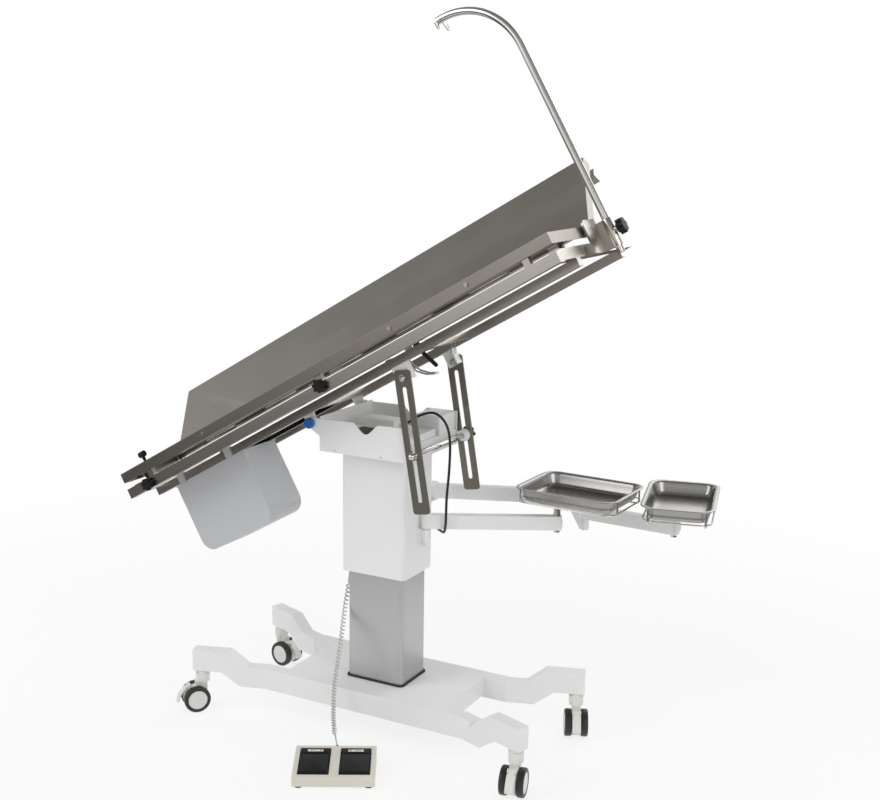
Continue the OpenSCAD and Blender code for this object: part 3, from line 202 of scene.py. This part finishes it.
# %% A finish with fine grain
def finish(name, colour, roughness, metallic=0.0, grain=(900, 900, 900), turn=0.0, bump=0.08, depth=0.0002,
           mottle=0.06, **sockets):
    """a shader whose noise is stretched by grain (repeats per metre along each axis) after a turn about Y"""
    material = bpy.data.materials.new(name)
    material.use_nodes = True
    tree = material.node_tree
    shader = tree.nodes["Principled BSDF"]
    shader.inputs["Metallic"].default_value = metallic
    for socket, value in sockets.items():
        shader.inputs[socket.replace("_", " ")].default_value = value

    def add(kind, **values):
        node = tree.nodes.new(kind)
        for key, value in values.items():
            setattr(node, key, value)
        return node

    place = add("ShaderNodeTexCoord")
    mapping = add("ShaderNodeMapping", vector_type="TEXTURE")
    mapping.inputs["Rotation"].default_value = (0, math.radians(-turn), 0)
    mapping.inputs["Scale"].default_value = [1 / g for g in grain]
    noise = add("ShaderNodeTexNoise")
    noise.inputs["Scale"].default_value = 1
    noise.inputs["Detail"].default_value = 3
    cloud = add("ShaderNodeTexNoise")
    cloud.inputs["Scale"].default_value = 7
    cloud.inputs["Detail"].default_value = 4
    ramp = add("ShaderNodeValToRGB")
    ramp.color_ramp.elements[0].position, ramp.color_ramp.elements[1].position = 0.3, 0.7
    low, high = ([min(1, c * k) for c in colour] + [1] for k in (1 - mottle, 1 + mottle))
    ramp.color_ramp.elements[0].color, ramp.color_ramp.elements[1].color = low, high
    blend = add("ShaderNodeMix")
    blend.inputs["Factor"].default_value = 0.5
    spread = add("ShaderNodeMapRange")
    spread.inputs["To Min"].default_value = roughness * 0.82
    spread.inputs["To Max"].default_value = min(1, roughness * 1.18)
    bumps = add("ShaderNodeBump")
    bumps.inputs["Strength"].default_value = bump
    bumps.inputs["Distance"].default_value = depth
    link = tree.links.new
    link(place.outputs["Object"], mapping.inputs["Vector"])
    link(mapping.outputs["Vector"], noise.inputs["Vector"])
    link(place.outputs["Object"], cloud.inputs["Vector"])
    link(noise.outputs["Fac"], blend.inputs[2])
    link(cloud.outputs["Fac"], blend.inputs[3])
    link(blend.outputs[0], ramp.inputs["Fac"])
    link(ramp.outputs["Color"], shader.inputs["Base Color"])
    link(noise.outputs["Fac"], spread.inputs["Value"])
    link(spread.outputs["Result"], shader.inputs["Roughness"])
    link(noise.outputs["Fac"], bumps.inputs["Height"])
    link(bumps.outputs["Normal"], shader.inputs["Normal"])
    return material


# %% [markdown]
# Powder coat is a thick, faintly pebbled paint. Its pebbles are about a millimetre wide and very shallow, so
# the bump is weak; what sells it is the soft, even gloss.

# %% Painted and moulded finishes
WHITE = (0.86, 0.87, 0.86)
IVORY = (0.76, 0.73, 0.65)
white_coat = finish("white_powder_coat", WHITE, 0.36, bump=0.12, mottle=0.015, Coat_Weight=0.15,
                    Coat_Roughness=0.2)
ivory_plastic = finish("ivory_moulding", IVORY, 0.42, bump=0.1, mottle=0.03)
hub_plastic = finish("hub_moulding", (0.80, 0.79, 0.75), 0.35, bump=0.05, mottle=0.02)
black_plastic = finish("black_moulding", (0.012, 0.012, 0.013), 0.45, grain=(1500, 1500, 1500), bump=0.2,
                       mottle=0.2, Specular_IOR_Level=0.2)
black_rubber = finish("black_rubber", (0.022, 0.022, 0.022), 0.7, grain=(1200, 1200, 1200), bump=0.35,
                      mottle=0.25)
tyre_rubber = finish("tyre_rubber", (0.016, 0.016, 0.017), 0.42, grain=(700, 700, 700), bump=0.15, mottle=0.3)
blue_plastic = finish("blue_cap_moulding", (0.012, 0.13, 0.42), 0.25, bump=0.05, mottle=0.08,
                      Coat_Weight=0.4)
cord_sheath = finish("curly_cord_sheath", (0.66, 0.66, 0.62), 0.45, bump=0.05, mottle=0.04)
lead_sheath = finish("lead_sheath", (0.012, 0.012, 0.013), 0.4, bump=0.05, mottle=0.1)
print("plain finishes", [m.name for m in bpy.data.materials][-9:])

# %% [markdown]
# Brushed stainless steel has hair-fine scratches in one direction. A noise that is stretched some hundred
# times longer than it is wide draws them, in colour, roughness and bump alike. The table's sheets are
# brushed along its length, which is tilted by thirty degrees at rest, and the links along theirs.

# %% Metals
TILT = 30
LINK_TURN = 9.7
sheet_steel = finish("steel_brushed_along_table", (0.33, 0.305, 0.27), 0.30, 1.0, (4, 1400, 1400), TILT,
                     bump=0.25, depth=0.0001, mottle=0.10, Anisotropic=0.4)
rail_steel = finish("steel_rail", (0.50, 0.47, 0.43), 0.24, 1.0, (3, 1200, 1200), TILT,
                    bump=0.1, depth=0.0001, mottle=0.08, Anisotropic=0.3)
link_steel = finish("steel_brushed_along_link", (0.24, 0.22, 0.19), 0.34, 1.0, (1300, 1300, 8), LINK_TURN,
                    bump=0.25, depth=0.0001, mottle=0.12)
column_metal = finish("column_satin_aluminium", (0.50, 0.50, 0.50), 0.36, 0.9, (1100, 1100, 6),
                      bump=0.12, depth=0.0001, mottle=0.05)
bright_steel = finish("polished_steel", (0.66, 0.64, 0.61), 0.14, 1.0, (60, 60, 60), bump=0.01, mottle=0.04)
tray_steel = finish("pressed_steel", (0.36, 0.35, 0.34), 0.26, 1.0, (30, 30, 30), bump=0.02, depth=0.0002,
                    mottle=0.05)
print("metals", [m.name for m in bpy.data.materials][-6:])

# %% [markdown]
# The bucket is blown from milky plastic. Light passes through its thin walls and is scattered on the way, so
# the shader mixes a little transmission with a strong roughness instead of being simply see-through.

# %% Milky plastic
milky_plastic = finish("milky_bucket", (0.80, 0.81, 0.83), 0.38, bump=0.05, mottle=0.02,
                       Transmission_Weight=0.45, IOR=1.35, Alpha=0.9)
print("milky plastic alpha", milky_plastic.node_tree.nodes["Principled BSDF"].inputs["Alpha"].default_value)

# %% [markdown]
# The solids keep their meshes, but a real edge is never knife sharp: sheet is dressed, castings have fillets.
# A weld joins the triangles, and a bevel that only takes sharp corners rounds them by a millimetre or so.

# %% Dress the solids
WELD_GAP, SHARP_CORNER = 0.00002, math.radians(38)


def dress(name, material, edge):
    """gives a solid its finish and rounds its sharp edges by so many millimetres"""
    thing = nodes[name]
    thing.data.materials.clear()
    thing.data.materials.append(material)
    if edge:
        weld = thing.modifiers.new("weld", "WELD")
        weld.merge_threshold = WELD_GAP
        bevel = thing.modifiers.new("edges", "BEVEL")
        bevel.width = edge * MM
        bevel.segments = 2
        bevel.limit_method = "ANGLE"
        bevel.angle_limit = SHARP_CORNER
        bevel.harden_normals = True
    return thing


DRESS = {
    white_coat: {"base_frame": 2, "shroud": 1.5, "carriage": 0.8, "control_box": 2, "arm_brackets": 0.6,
                 "carriage_insert": 1.5, "hinge_brackets": 0.6, "link_brackets": 0.7, "arm_a": 1,
                 "arm_two": 1, "arm_b": 1},
    sheet_steel: {"near_pan": 0.5, "far_pan": 0.5, "hinge_rod": 0.5},
    rail_steel: {"table_frame": 1, "near_rail": 1.2, "far_rail": 1.2, "pole_bracket": 0.8},
    link_steel: {"near_link": 0.6, "far_link": 0.6},
    column_metal: {"column_tube": 0},
    bright_steel: {"tilt_rod": 0.4, "crossbar": 0.5, "link_bolts": 0.6, "cross_shaft": 0.4, "rod_loops": 0,
                   "drip_pole": 0, "holder_one": 0, "holder_two": 0},
    black_plastic: {"crossbar_knob": 2, "table_lever": 0.6, "tie_cleat": 1,
                    "rail_knob_mid": 1.8, "rail_knob_foot": 1.8, "pole_knob": 2,
                    "foot_pedal_left": 2.5, "foot_pedal_right": 2.5},
    black_rubber: {"column_gasket": 0.5, "foot_rubbers": 0.5},
    blue_plastic: {"tilt_caps": 1.2},
    ivory_plastic: {"foot_housing": 2.5},
    milky_plastic: {"bucket": 1.2},
    hub_plastic: {f"caster_{k}_{part}": 1 for k in ("nl", "fl", "nr", "fr") for part in ("body", "brake")}}
for material, members in DRESS.items():
    for name, edge in members.items():
        dress(name, material, edge)
curly.data.materials.append(cord_sheath)
lead.data.materials.append(lead_sheath)
print("dressed", sum(len(m) for m in DRESS.values()), "solids")

# %% [markdown]
# Turned pieces, such as tyres, hub caps and bolt heads, are drawn as half an outline and spun round an axis.
# Each is placed by a point and a direction, so the same tool serves the whole table.

# %% Spin an outline
SAME_POINT, CREASE_ANGLE = 1e-6, math.radians(35)


def placed(place, axis):
    """a frame whose Z runs along the axis"""
    turn = Vector(axis).normalized().to_track_quat("Z", "Y").to_matrix().to_4x4()
    return Matrix.Translation(Vector(place)) @ turn


def spun(name, outline, place, axis, body, material, sides=48, closed=False):
    """outline is a list of (radius, height) in millimetres, heights along the axis"""
    at = placed(place, axis)
    verts, faces = [], []
    for r, h in outline:
        verts += [at @ Vector((r * MM * math.cos(a), r * MM * math.sin(a), h * MM))
                  for a in (2 * math.pi * k / sides for k in range(sides))]
    count = len(outline)
    for i in range(count if closed else count - 1):
        j = (i + 1) % count
        for k in range(sides):
            n = (k + 1) % sides
            faces.append((i * sides + k, i * sides + n, j * sides + n, j * sides + k))
    if not closed:
        faces += [tuple(reversed(range(sides))), tuple(range(len(verts) - sides, len(verts)))]
    mesh = bpy.data.meshes.new(name)
    mesh.from_pydata(verts, [], faces)
    tidy = bmesh.new()
    tidy.from_mesh(mesh)
    bmesh.ops.remove_doubles(tidy, verts=tidy.verts, dist=SAME_POINT)
    bmesh.ops.recalc_face_normals(tidy, faces=tidy.faces)
    for face in tidy.faces:
        face.smooth = True
    for edge in tidy.edges:
        if len(edge.link_faces) == 2 and edge.calc_face_angle() > CREASE_ANGLE:
            edge.smooth = False
    tidy.to_mesh(mesh)
    tidy.free()
    thing = new_object(name, mesh, body, material)
    return thing


# %% [markdown]
# Twin-wheel casters: two rubber tyres share an axle, and each carries a pale hub cap with a pressed ring.
# The tyre's section has a narrow groove, rounded shoulders and a lip that holds the cap.

# %% Tyres and hub caps
TYRE = [(26.8, 13), (33.5, 12.7), (36.2, 13.8), (37.4, 16.2), (37.5, 19.5), (36.8, 19.9), (36.8, 20.9),
        (37.5, 21.3), (37.4, 28.4), (36.2, 30.9), (33.8, 31.9), (29.4, 31.9), (28.6, 31.2), (26.8, 31.0)]
CAP = [(5.2, 13), (27.0, 13), (27.2, 30.6), (26.4, 31.2), (24.2, 31.2), (23.5, 30.3), (22.2, 30.3),
       (21.5, 31.0), (12, 31.6), (7.2, 31.8), (6.6, 31.2), (5.6, 31.2), (5.2, 31.8), (0.01, 32.0)]
AXLE = [(4.9, -14), (4.9, 14)]
CREASE_X, LEG_Y, STEM_S, SPLAY = 314, 130.5, 190, math.radians(19.6)
WHEEL_RADIUS, WHEEL_TRAIL = 37.5, 22
HEADS = {"nl": (-1, -1, -129), "fl": (-1, 1, -10), "nr": (1, -1, -78), "fr": (1, 1, -64)}
for key, (sx, sy, heading) in HEADS.items():
    h = math.radians(heading)
    stem = Vector((sx * (CREASE_X + STEM_S * math.cos(SPLAY)), sy * (LEG_Y + STEM_S * math.sin(SPLAY)),
                   WHEEL_RADIUS))
    hub = (stem + WHEEL_TRAIL * Vector((math.cos(h), math.sin(h), 0))) * MM
    axle = Vector((-math.sin(h), math.cos(h), 0))
    for side, way in (("a", axle), ("b", -axle)):
        tyre = spun(f"tyre_{key}_{side}", TYRE, hub, way, f"wheels_{key}", tyre_rubber, closed=True)
        spun(f"hub_cap_{key}_{side}", CAP, hub, way, f"wheels_{key}", hub_plastic)
        if side == "a":
            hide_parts(f"caster_{key}_wheels")
    spun(f"axle_{key}", AXLE, hub, axle, f"wheels_{key}", bright_steel, sides=24)
print("casters", list(HEADS))

# %% [markdown]
# An instrument tray is pressed from one sheet: a flat floor, a generous corner radius all round, slightly
# sloping walls and a rolled rim. It is lofted from rounded rectangles, each a little larger than the last.

# %% A rounded rectangle and the loft
def rounded_loop(length, width, radius, z, corner=10):
    loop = []
    for cx, cy, start in ((1, 1, 0), (-1, 1, 90), (-1, -1, 180), (1, -1, 270)):
        for k in range(corner + 1):
            a = math.radians(start + 90 * k / corner)
            loop.append(Vector((cx * (length / 2 - radius) + radius * math.cos(a),
                                cy * (width / 2 - radius) + radius * math.sin(a), z)) * MM)
    return loop


def lofted(name, loops, at, body, material):
    """joins loops of equal length into a closed skin, with a flat face at each end"""
    count = len(loops[0])
    verts = [at @ p for loop in loops for p in loop]
    faces = []
    for i in range(len(loops) - 1):
        for k in range(count):
            n = (k + 1) % count
            faces.append((i * count + k, i * count + n, (i + 1) * count + n, (i + 1) * count + k))
    faces += [tuple(reversed(range(count))), tuple(range(len(verts) - count, len(verts)))]
    mesh = bpy.data.meshes.new(name)
    mesh.from_pydata(verts, [], faces)
    mesh.polygons.foreach_set("use_smooth", [True] * len(mesh.polygons))
    thing = new_object(name, mesh, body, material)
    return thing


# %% Trays
TRAY_SECTION = [
    (44, 669.1), (30, 669.1), (24.5, 670.2), (20.5, 673.2), (17.6, 679), (13.2, 693), (11.2, 700.2),
    (9.4, 702.9), (6.5, 703.9), (2, 703.6), (0.3, 704.2), (0.3, 705.3), (2, 706), (8.4, 705.9), (11.6, 704.6),
    (13.2, 701.6), (15.2, 694), (19.4, 680), (22.2, 674.6), (26, 671.7), (31, 670.7), (44, 670.7)]
TRAY_LENGTH, TRAY_CORNER, CORNER_LOSS, LEAST_CORNER = 296, 40, 0.75, 8
TRAYS = {"one": ((487, 181), -2.5, 229), "two": ((748.5, 236.7), 103.8, 190)}


def tray_place(x, y, turn):
    return Matrix.Translation((x * MM, y * MM, 0)) @ Matrix.Rotation(math.radians(turn), 4, "Z")


for key, ((x, y), turn, width) in TRAYS.items():
    at = tray_place(x, y, turn)
    loops = [rounded_loop(TRAY_LENGTH - 2 * inset, width - 2 * inset,
                          max(TRAY_CORNER - CORNER_LOSS * inset, LEAST_CORNER), z)
             for inset, z in TRAY_SECTION]
    tray = lofted(f"pressed_tray_{key}", loops, at, f"tray_{key}", tray_steel)
    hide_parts(f"tray_{key}_pan")
print("trays", list(TRAYS))

# %% [markdown]
# Each holder also has a wire ring that goes round the tray a little below its rim, welded to the uprights.
# It is bent from one length of wire, so a closed line with round corners and a thin tube is all it takes.

# %% Wire rings of the holders
RING_INSET, RING_CORNER, RING_Z, RING_WIRE = 8, 34, 669, 2.2 * MM
for key, ((x, y), turn, width) in TRAYS.items():
    at = tray_place(x, y, turn)
    ring = [at @ p for p in rounded_loop(TRAY_LENGTH - 2 * RING_INSET, width - 2 * RING_INSET,
                                         RING_CORNER, RING_Z)]
    start = ring[0].lerp(ring[-1], 0.5)
    new_object(f"holder_ring_{key}", tube_mesh(f"holder_ring_{key}", [start, *ring, start], RING_WIRE),
               f"holder_{key}", bright_steel)
print("rings at", RING_Z, "mm")

# %% [markdown]
# Fasteners. Nuts are six-sided with a turned chamfer, screws have a low dome with a socket. They are small,
# but they are what tells the eye how the table is held together.

# %% Nuts, domes and socket screws
def nut(name, place, axis, across, height, body):
    """a hexagonal nut whose corners are turned down, with the bolt's end standing out of it"""
    spun(name, [(0.01, 0), (across * 0.577, 0), (across * 0.577, height * 0.8), (across * 0.49, height),
                (across * 0.32, height), (across * 0.30, height * 1.35), (0.01, height * 1.45)],
         place, axis, body, bright_steel, sides=6)


def dome(name, place, axis, radius, height, body, material=None):
    """the low round head of a screw or a bolt"""
    outline = [(radius, 0)] + [(radius * math.cos(a), height * (0.15 + 0.85 * math.sin(a)))
                               for a in (math.pi / 2 * k / 6 for k in range(6))] + [(0.01, height)]
    spun(name, outline, place, axis, body, material or bright_steel, sides=24)


def socket_screw(name, place, axis, radius, body, material):
    """a screw head with a round well in it"""
    spun(name, [(radius, 0), (radius, radius * 0.6), (radius * 0.85, radius * 0.8),
                (radius * 0.5, radius * 0.8), (radius * 0.45, radius * 0.3), (0.01, radius * 0.3)],
         place, axis, body, material, 24)


# %% The table's own directions
ALONG = Vector((math.cos(math.radians(TILT)), 0, math.sin(math.radians(TILT))))
ACROSS = Vector((0, 1, 0))
ABOVE = Vector((-math.sin(math.radians(TILT)), 0, math.cos(math.radians(TILT))))
FOOT_END = Vector((-0.721989, 0, 0.669594))


def on_table(u, v, n):
    """a point of the tilted table, from its foot end, its centre line and its top face, in millimetres"""
    return FOOT_END + (u * ALONG + v * ACROSS + n * ABOVE) * MM


PIN = on_table(907.66, 0, -125.96)
BOLT_END, NUT_SEAT = 0.1472, 0.1306
for side, way in (("near", -1), ("far", 1)):
    dome(f"link_bolt_dome_{side}", PIN + Vector((0, way * BOLT_END, 0)), (0, way, 0), 6.5, 4, "table")
    nut(f"link_bolt_nut_{side}", PIN + Vector((0, way * NUT_SEAT, 0)), (0, -way, 0), 13, 6, "table")
CROSSBAR = Vector((0.16102, 0, 0.8156))
FAR_COLLAR = [(16, 137), (17, 138), (17, 138.9), (8.2, 138.9), (8.2, 137)]
spun("crossbar_far_collar", FAR_COLLAR, CROSSBAR, (0, 1, 0), "lift_head", white_coat, closed=True)
print("link pin", [round(c, 4) for c in PIN])

# %% [markdown]
# Small hardware, each piece set on the solid that carries it: screws along the carriage's lower edge, a
# screw on the control box, socket screws under the arms' barrels and two small screws on the arm bracket.

# %% Hardware on the lifting head
for k, x in enumerate((-84, 58)):
    dome(f"tray_screw_near_{k}", (x * MM, -0.134, 0.7965), (0, -1, 0), 3, 1.6, "lift_head")
dome("control_box_screw", (0.137, 0.083, 0.866), (1, 0, 0), 2.4, 1.2, "lift_head", white_coat)
dome("carriage_back_screw", (-0.02, 0.134, 0.82), (0, 1, 0), 3, 1.6, "lift_head", white_coat)
SCREW_RING, SCREW_RADIUS = 0.0068, 2.0
for k in range(3):
    a = math.radians(120 * k + 30)
    ring_x, ring_y = SCREW_RING * math.cos(a), SCREW_RING * math.sin(a)
    socket_screw(f"arm_b_screw_{k}", (0.119 + ring_x, 0.004 + ring_y, 0.5346), (0, 0, -1), SCREW_RADIUS,
                 "arm_b", black_plastic)
    socket_screw(f"elbow_screw_{k}", (0.451 + ring_x, 0.317 + ring_y, 0.546), (0, 0, -1), SCREW_RADIUS,
                 "arm_a", black_plastic)
for k, z in enumerate((0.533, 0.569)):
    dome(f"bracket_screw_{k}", (0.102, 0.021, z), (1, 0, 0), 3.2, 1.6, "lift_head", white_coat)
print("lifting head hardware done")

# %% [markdown]
# The foot switch has two rocker pedals. Each gets a raised pad with rounded corners and a small plain plate
# with a coloured dot, which tells the two directions apart by feel and by sight.

# %% Foot switch frame and a soft-cornered slab
SWITCH = Matrix.Translation((0.054, -0.350, 0)) @ Matrix.Rotation(math.radians(29.2), 4, "Z")
SWITCH_DEPTH, FRONT_HEIGHT, BACK_HEIGHT, PEDAL_RISE = 148, 32, 45, 3
SLOPE = math.atan((BACK_HEIGHT - FRONT_HEIGHT) / SWITCH_DEPTH)


def pedal_top(y):
    """the height of a pedal's top face, y millimetres behind the middle of the switch"""
    return FRONT_HEIGHT + (y + SWITCH_DEPTH / 2) * (BACK_HEIGHT - FRONT_HEIGHT) / SWITCH_DEPTH + PEDAL_RISE


def slab(name, length, width, height, radius, at, body, material, slot=None):
    """a low pad with rounded corners and a soft upper edge, standing on the plane of at"""
    soft = min(height * 0.6, radius * 0.6)
    loops = [rounded_loop(length, width, radius, 0, 6), rounded_loop(length, width, radius, height - soft, 6)]
    for k in range(1, 4):
        a = math.pi / 2 * k / 3
        inset = soft * (1 - math.cos(a))
        loops.append(rounded_loop(length - 2 * inset, width - 2 * inset, radius - inset * 0.9,
                                  height - soft + soft * math.sin(a), 6))
    return lofted(name, loops, at, body, material)


def on_pedal(x, y, lift=0.0):
    """a plane on top of a pedal, tilted as the pedal is"""
    return (SWITCH @ Matrix.Translation((x * MM, y * MM, (pedal_top(y) + lift) * MM))
            @ Matrix.Rotation(SLOPE, 4, "X"))


# %% Pedal pads and plates
dot_red = finish("red_dot", (0.55, 0.02, 0.02), 0.35, bump=0.02, mottle=0.02)
plate_white = finish("plate_white", (0.82, 0.82, 0.82), 0.4, bump=0.02, mottle=0.01)
PEDAL_X, PAD_Y, BAR_Y, PLATE_Y, DOT_X, MARK_STEP = 52.5, -14.5, 43, 42, 14, 5
PAD_SINK, PLATE_LIFT, MARK_LIFT = -0.4, 2.0, 2.5
PAD, BAR, PLATE, MARK = (70, 82, 2.0, 6), (70, 24, 2.4, 4), (40, 9, 0.6, 1.5), (3.6, 2.6, 0.3, 0.8)
DOT = [(2.6, 0), (2.6, 0.3), (2.2, 0.5), (0.01, 0.5)]
for side, sign in (("left", -1), ("right", 1)):
    body, x = f"pedal_{side}", sign * PEDAL_X
    slab(f"pedal_pad_{side}", *PAD, on_pedal(x, PAD_Y, PAD_SINK), body, black_plastic, "black_plastic")
    slab(f"pedal_bar_{side}", *BAR, on_pedal(x, BAR_Y, PAD_SINK), body, black_plastic, "black_plastic")
    slab(f"pedal_plate_{side}", *PLATE, on_pedal(x, PLATE_Y, PLATE_LIFT), body, plate_white)
    spun(f"pedal_dot_{side}", DOT, on_pedal(x - sign * DOT_X, PLATE_Y, MARK_LIFT).translation,
         on_pedal(0, 0).to_3x3() @ Vector((0, 0, 1)), body, dot_red, 24)
    for k in range(3):
        mark = on_pedal(sign * (PEDAL_X + 1 + MARK_STEP * k), PLATE_Y, MARK_LIFT)
        slab(f"pedal_mark_{side}_{k}", *MARK, mark, body, black_plastic)
print("pedals at", [round(c, 3) for c in on_pedal(-PEDAL_X, 0).translation])

# %% [markdown]
# Through the notch of the carriage a black pad shows on top of the white insert. It is a slab of its own, so
# that the dark part stays where the notch is.

# %% Pad under the notch
NOTCH_PAD, NOTCH = (112, 70, 2, 5), Matrix.Translation((0.010, -0.089, 0.8499))
slab("carriage_pad", *NOTCH_PAD, NOTCH, "lift_head", black_plastic, "black_plastic")
print("carriage pad done")

# %% [markdown]
# The tilt caps have a pressed centre, and the arms' open ends are closed with plugs, as cut tube always is.

# %% Caps and plugs
DIMPLE = [(8.5, 0), (8.5, 0.5), (7, 0.9), (6.2, 0.3), (0.01, 0.2)]
AXLE_X, AXLE_Z, CAP_FACE = -0.16, 0.863, 0.146
PLUG, PLUG_OUT = (35, 22, 1.6, 2), 12
for side, way in (("near", -1), ("far", 1)):
    spun(f"tilt_cap_dimple_{side}", DIMPLE, Vector((AXLE_X, way * CAP_FACE, AXLE_Z)), (0, way, 0),
         "lift_head", blue_plastic, 32)
for key, centre, long_way, body in (
        ("arm_b", Vector((0.428, 0.172, 0.599)), Vector((309, 168, 0)), "arm_b"),
        ("arm_two", Vector((0.712, 0.303, 0.596)), Vector((261, -14, 0)), "arm_two")):
    way = long_way.normalized()
    at = Matrix.Translation(centre + way * PLUG_OUT * MM) @ way.to_track_quat("Z", "Y").to_matrix().to_4x4()
    slab(f"{key}_end_plug", *PLUG, at, body, white_coat)
print("plugs done")

# %% [markdown]
# The room is a plain pale floor that runs on to a white surround. The floor keeps a soft shadow, because part
# of its light is its own and part is received. Its own share grows with distance, so the far edge never
# shows. Metal needs contrast to look like metal: the surround is white near the horizon and darker overhead,
# and in reflections the white paper ends a step in front of the table and the dim room begins.

# %% Floor
FLOOR_HALF, ROOM_SIZE, FADE_START, FADE_END = 30, 16, 1.0, 3.2
floor_mesh = bpy.data.meshes.new("floor")
floor_mesh.from_pydata([(FLOOR_HALF * x, FLOOR_HALF * y, 0) for x, y in ((-1, -1), (1, -1), (1, 1), (-1, 1))],
                       [], [(0, 1, 2, 3)])
floor = new_object("floor", floor_mesh, None)
floor_finish = bpy.data.materials.new("floor")
floor_finish.use_nodes = True
tree = floor_finish.node_tree
tree.nodes.clear()
lit = tree.nodes.new("ShaderNodeBsdfDiffuse")
lit.inputs["Color"].default_value = (0.93, 0.93, 0.93, 1)
glow = tree.nodes.new("ShaderNodeEmission")
room = tree.nodes.new("ShaderNodeValToRGB")
stops = room.color_ramp.elements
stops[0].position, stops[0].color = 0.075, (1, 1, 1, 1)
stops[1].position, stops[1].color = 0.75, (1, 1, 1, 1)
for position, grey in ((0.15, 0.10), (0.30, 0.22)):
    stops.new(position).color = (grey, grey, grey, 1)
metres = tree.nodes.new("ShaderNodeMath")
metres.operation = "MULTIPLY"
metres.inputs[1].default_value = 1 / ROOM_SIZE
tint = tree.nodes.new("ShaderNodeMix")
tint.data_type = "RGBA"
tint.inputs[6].default_value = (1, 1, 1, 1)
path = tree.nodes.new("ShaderNodeLightPath")
seen = tree.nodes.new("ShaderNodeMath")
seen.operation = "MAXIMUM"
share = tree.nodes.new("ShaderNodeMath")
share.operation = "MULTIPLY"
spot = tree.nodes.new("ShaderNodeTexCoord")
reach = tree.nodes.new("ShaderNodeVectorMath")
reach.operation = "LENGTH"
fade = tree.nodes.new("ShaderNodeMapRange")
fade.interpolation_type = "SMOOTHSTEP"
for socket, value in (("From Min", FADE_START), ("From Max", FADE_END), ("To Min", 0.8), ("To Max", 1.0)):
    fade.inputs[socket].default_value = value
mix = tree.nodes.new("ShaderNodeMixShader")
out = tree.nodes.new("ShaderNodeOutputMaterial")
for a, b in ((spot.outputs["Object"], reach.inputs[0]), (reach.outputs["Value"], fade.inputs["Value"]),
             (reach.outputs["Value"], metres.inputs[0]), (metres.outputs[0], room.inputs["Fac"]),
             (room.outputs["Color"], tint.inputs[7]), (path.outputs["Is Glossy Ray"], tint.inputs[0]),
             (tint.outputs[2], glow.inputs["Color"]),
             (path.outputs["Is Camera Ray"], share.inputs[0]), (fade.outputs["Result"], share.inputs[1]),
             (share.outputs[0], seen.inputs[0]), (path.outputs["Is Glossy Ray"], seen.inputs[1]),
             (seen.outputs[0], mix.inputs[0]), (lit.outputs[0], mix.inputs[1]),
             (glow.outputs[0], mix.inputs[2]), (mix.outputs[0], out.inputs[0])):
    tree.links.new(a, b)
floor_mesh.materials.append(floor_finish)

# %% Surround
world = bpy.data.worlds.new("surround")
bpy.context.scene.world = world
world.use_nodes = True
tree = world.node_tree
tree.nodes.clear()
direction = tree.nodes.new("ShaderNodeTexCoord")
split = tree.nodes.new("ShaderNodeSeparateXYZ")
sky = tree.nodes.new("ShaderNodeValToRGB")
stops = sky.color_ramp.elements
stops[0].position, stops[0].color = 0.0, (1, 1, 1, 1)
stops[1].position, stops[1].color = 0.95, (0.22, 0.22, 0.22, 1)
for position, grey in ((0.12, 1), (0.5, 0.42)):
    stops.new(position).color = (grey, grey, grey, 1)
path = tree.nodes.new("ShaderNodeLightPath")
ambient = tree.nodes.new("ShaderNodeBackground")
ambient.inputs["Color"].default_value = (1, 1, 1, 1)
ambient.inputs["Strength"].default_value = 0.55
mirrored = tree.nodes.new("ShaderNodeBackground")
plain = tree.nodes.new("ShaderNodeBackground")
plain.inputs["Color"].default_value = (1, 1, 1, 1)
clear = tree.nodes.new("ShaderNodeMath")
clear.operation = "MAXIMUM"
first, second = tree.nodes.new("ShaderNodeMixShader"), tree.nodes.new("ShaderNodeMixShader")
out = tree.nodes.new("ShaderNodeOutputWorld")
for a, b in ((direction.outputs["Generated"], split.inputs[0]), (split.outputs["Z"], sky.inputs["Fac"]),
             (sky.outputs["Color"], mirrored.inputs["Color"]),
             (path.outputs["Is Glossy Ray"], first.inputs[0]), (ambient.outputs[0], first.inputs[1]),
             (mirrored.outputs[0], first.inputs[2]), (path.outputs["Is Camera Ray"], clear.inputs[0]),
             (path.outputs["Is Transmission Ray"], clear.inputs[1]), (clear.outputs[0], second.inputs[0]),
             (first.outputs[0], second.inputs[1]), (plain.outputs[0], second.inputs[2]),
             (second.outputs[0], out.inputs[0])):
    tree.links.new(a, b)
print("surround and floor are white where the camera sees them")

# %% [markdown]
# Three soft lamps: a broad key high on the left, a weaker fill on the right and one behind that lights the
# far edges. They are large, so their shadows are soft and their reflections are long pale bands.

# %% Lamps
AIM = Vector((0, 0, 0.8))
LAMPS = {"key": ((-2.6, -3.2, 3.4), 3.0, 74), "fill": ((3.6, -1.6, 2.2), 2.5, 34),
         "rear": ((0.6, 3.6, 3.2), 3.0, 45)}
for name, (place, size, power) in LAMPS.items():
    light = bpy.data.lights.new(name, "AREA")
    light.size = size
    light.energy = power
    lamp = bpy.data.objects.new(name, light)
    lamp.location = place
    lamp.rotation_euler = (AIM - Vector(place)).to_track_quat("-Z", "Y").to_euler()
    bpy.context.scene.collection.objects.link(lamp)
bpy.context.scene.view_settings.view_transform = "Standard"
print("lamps", {name: power for name, (place, size, power) in LAMPS.items()})
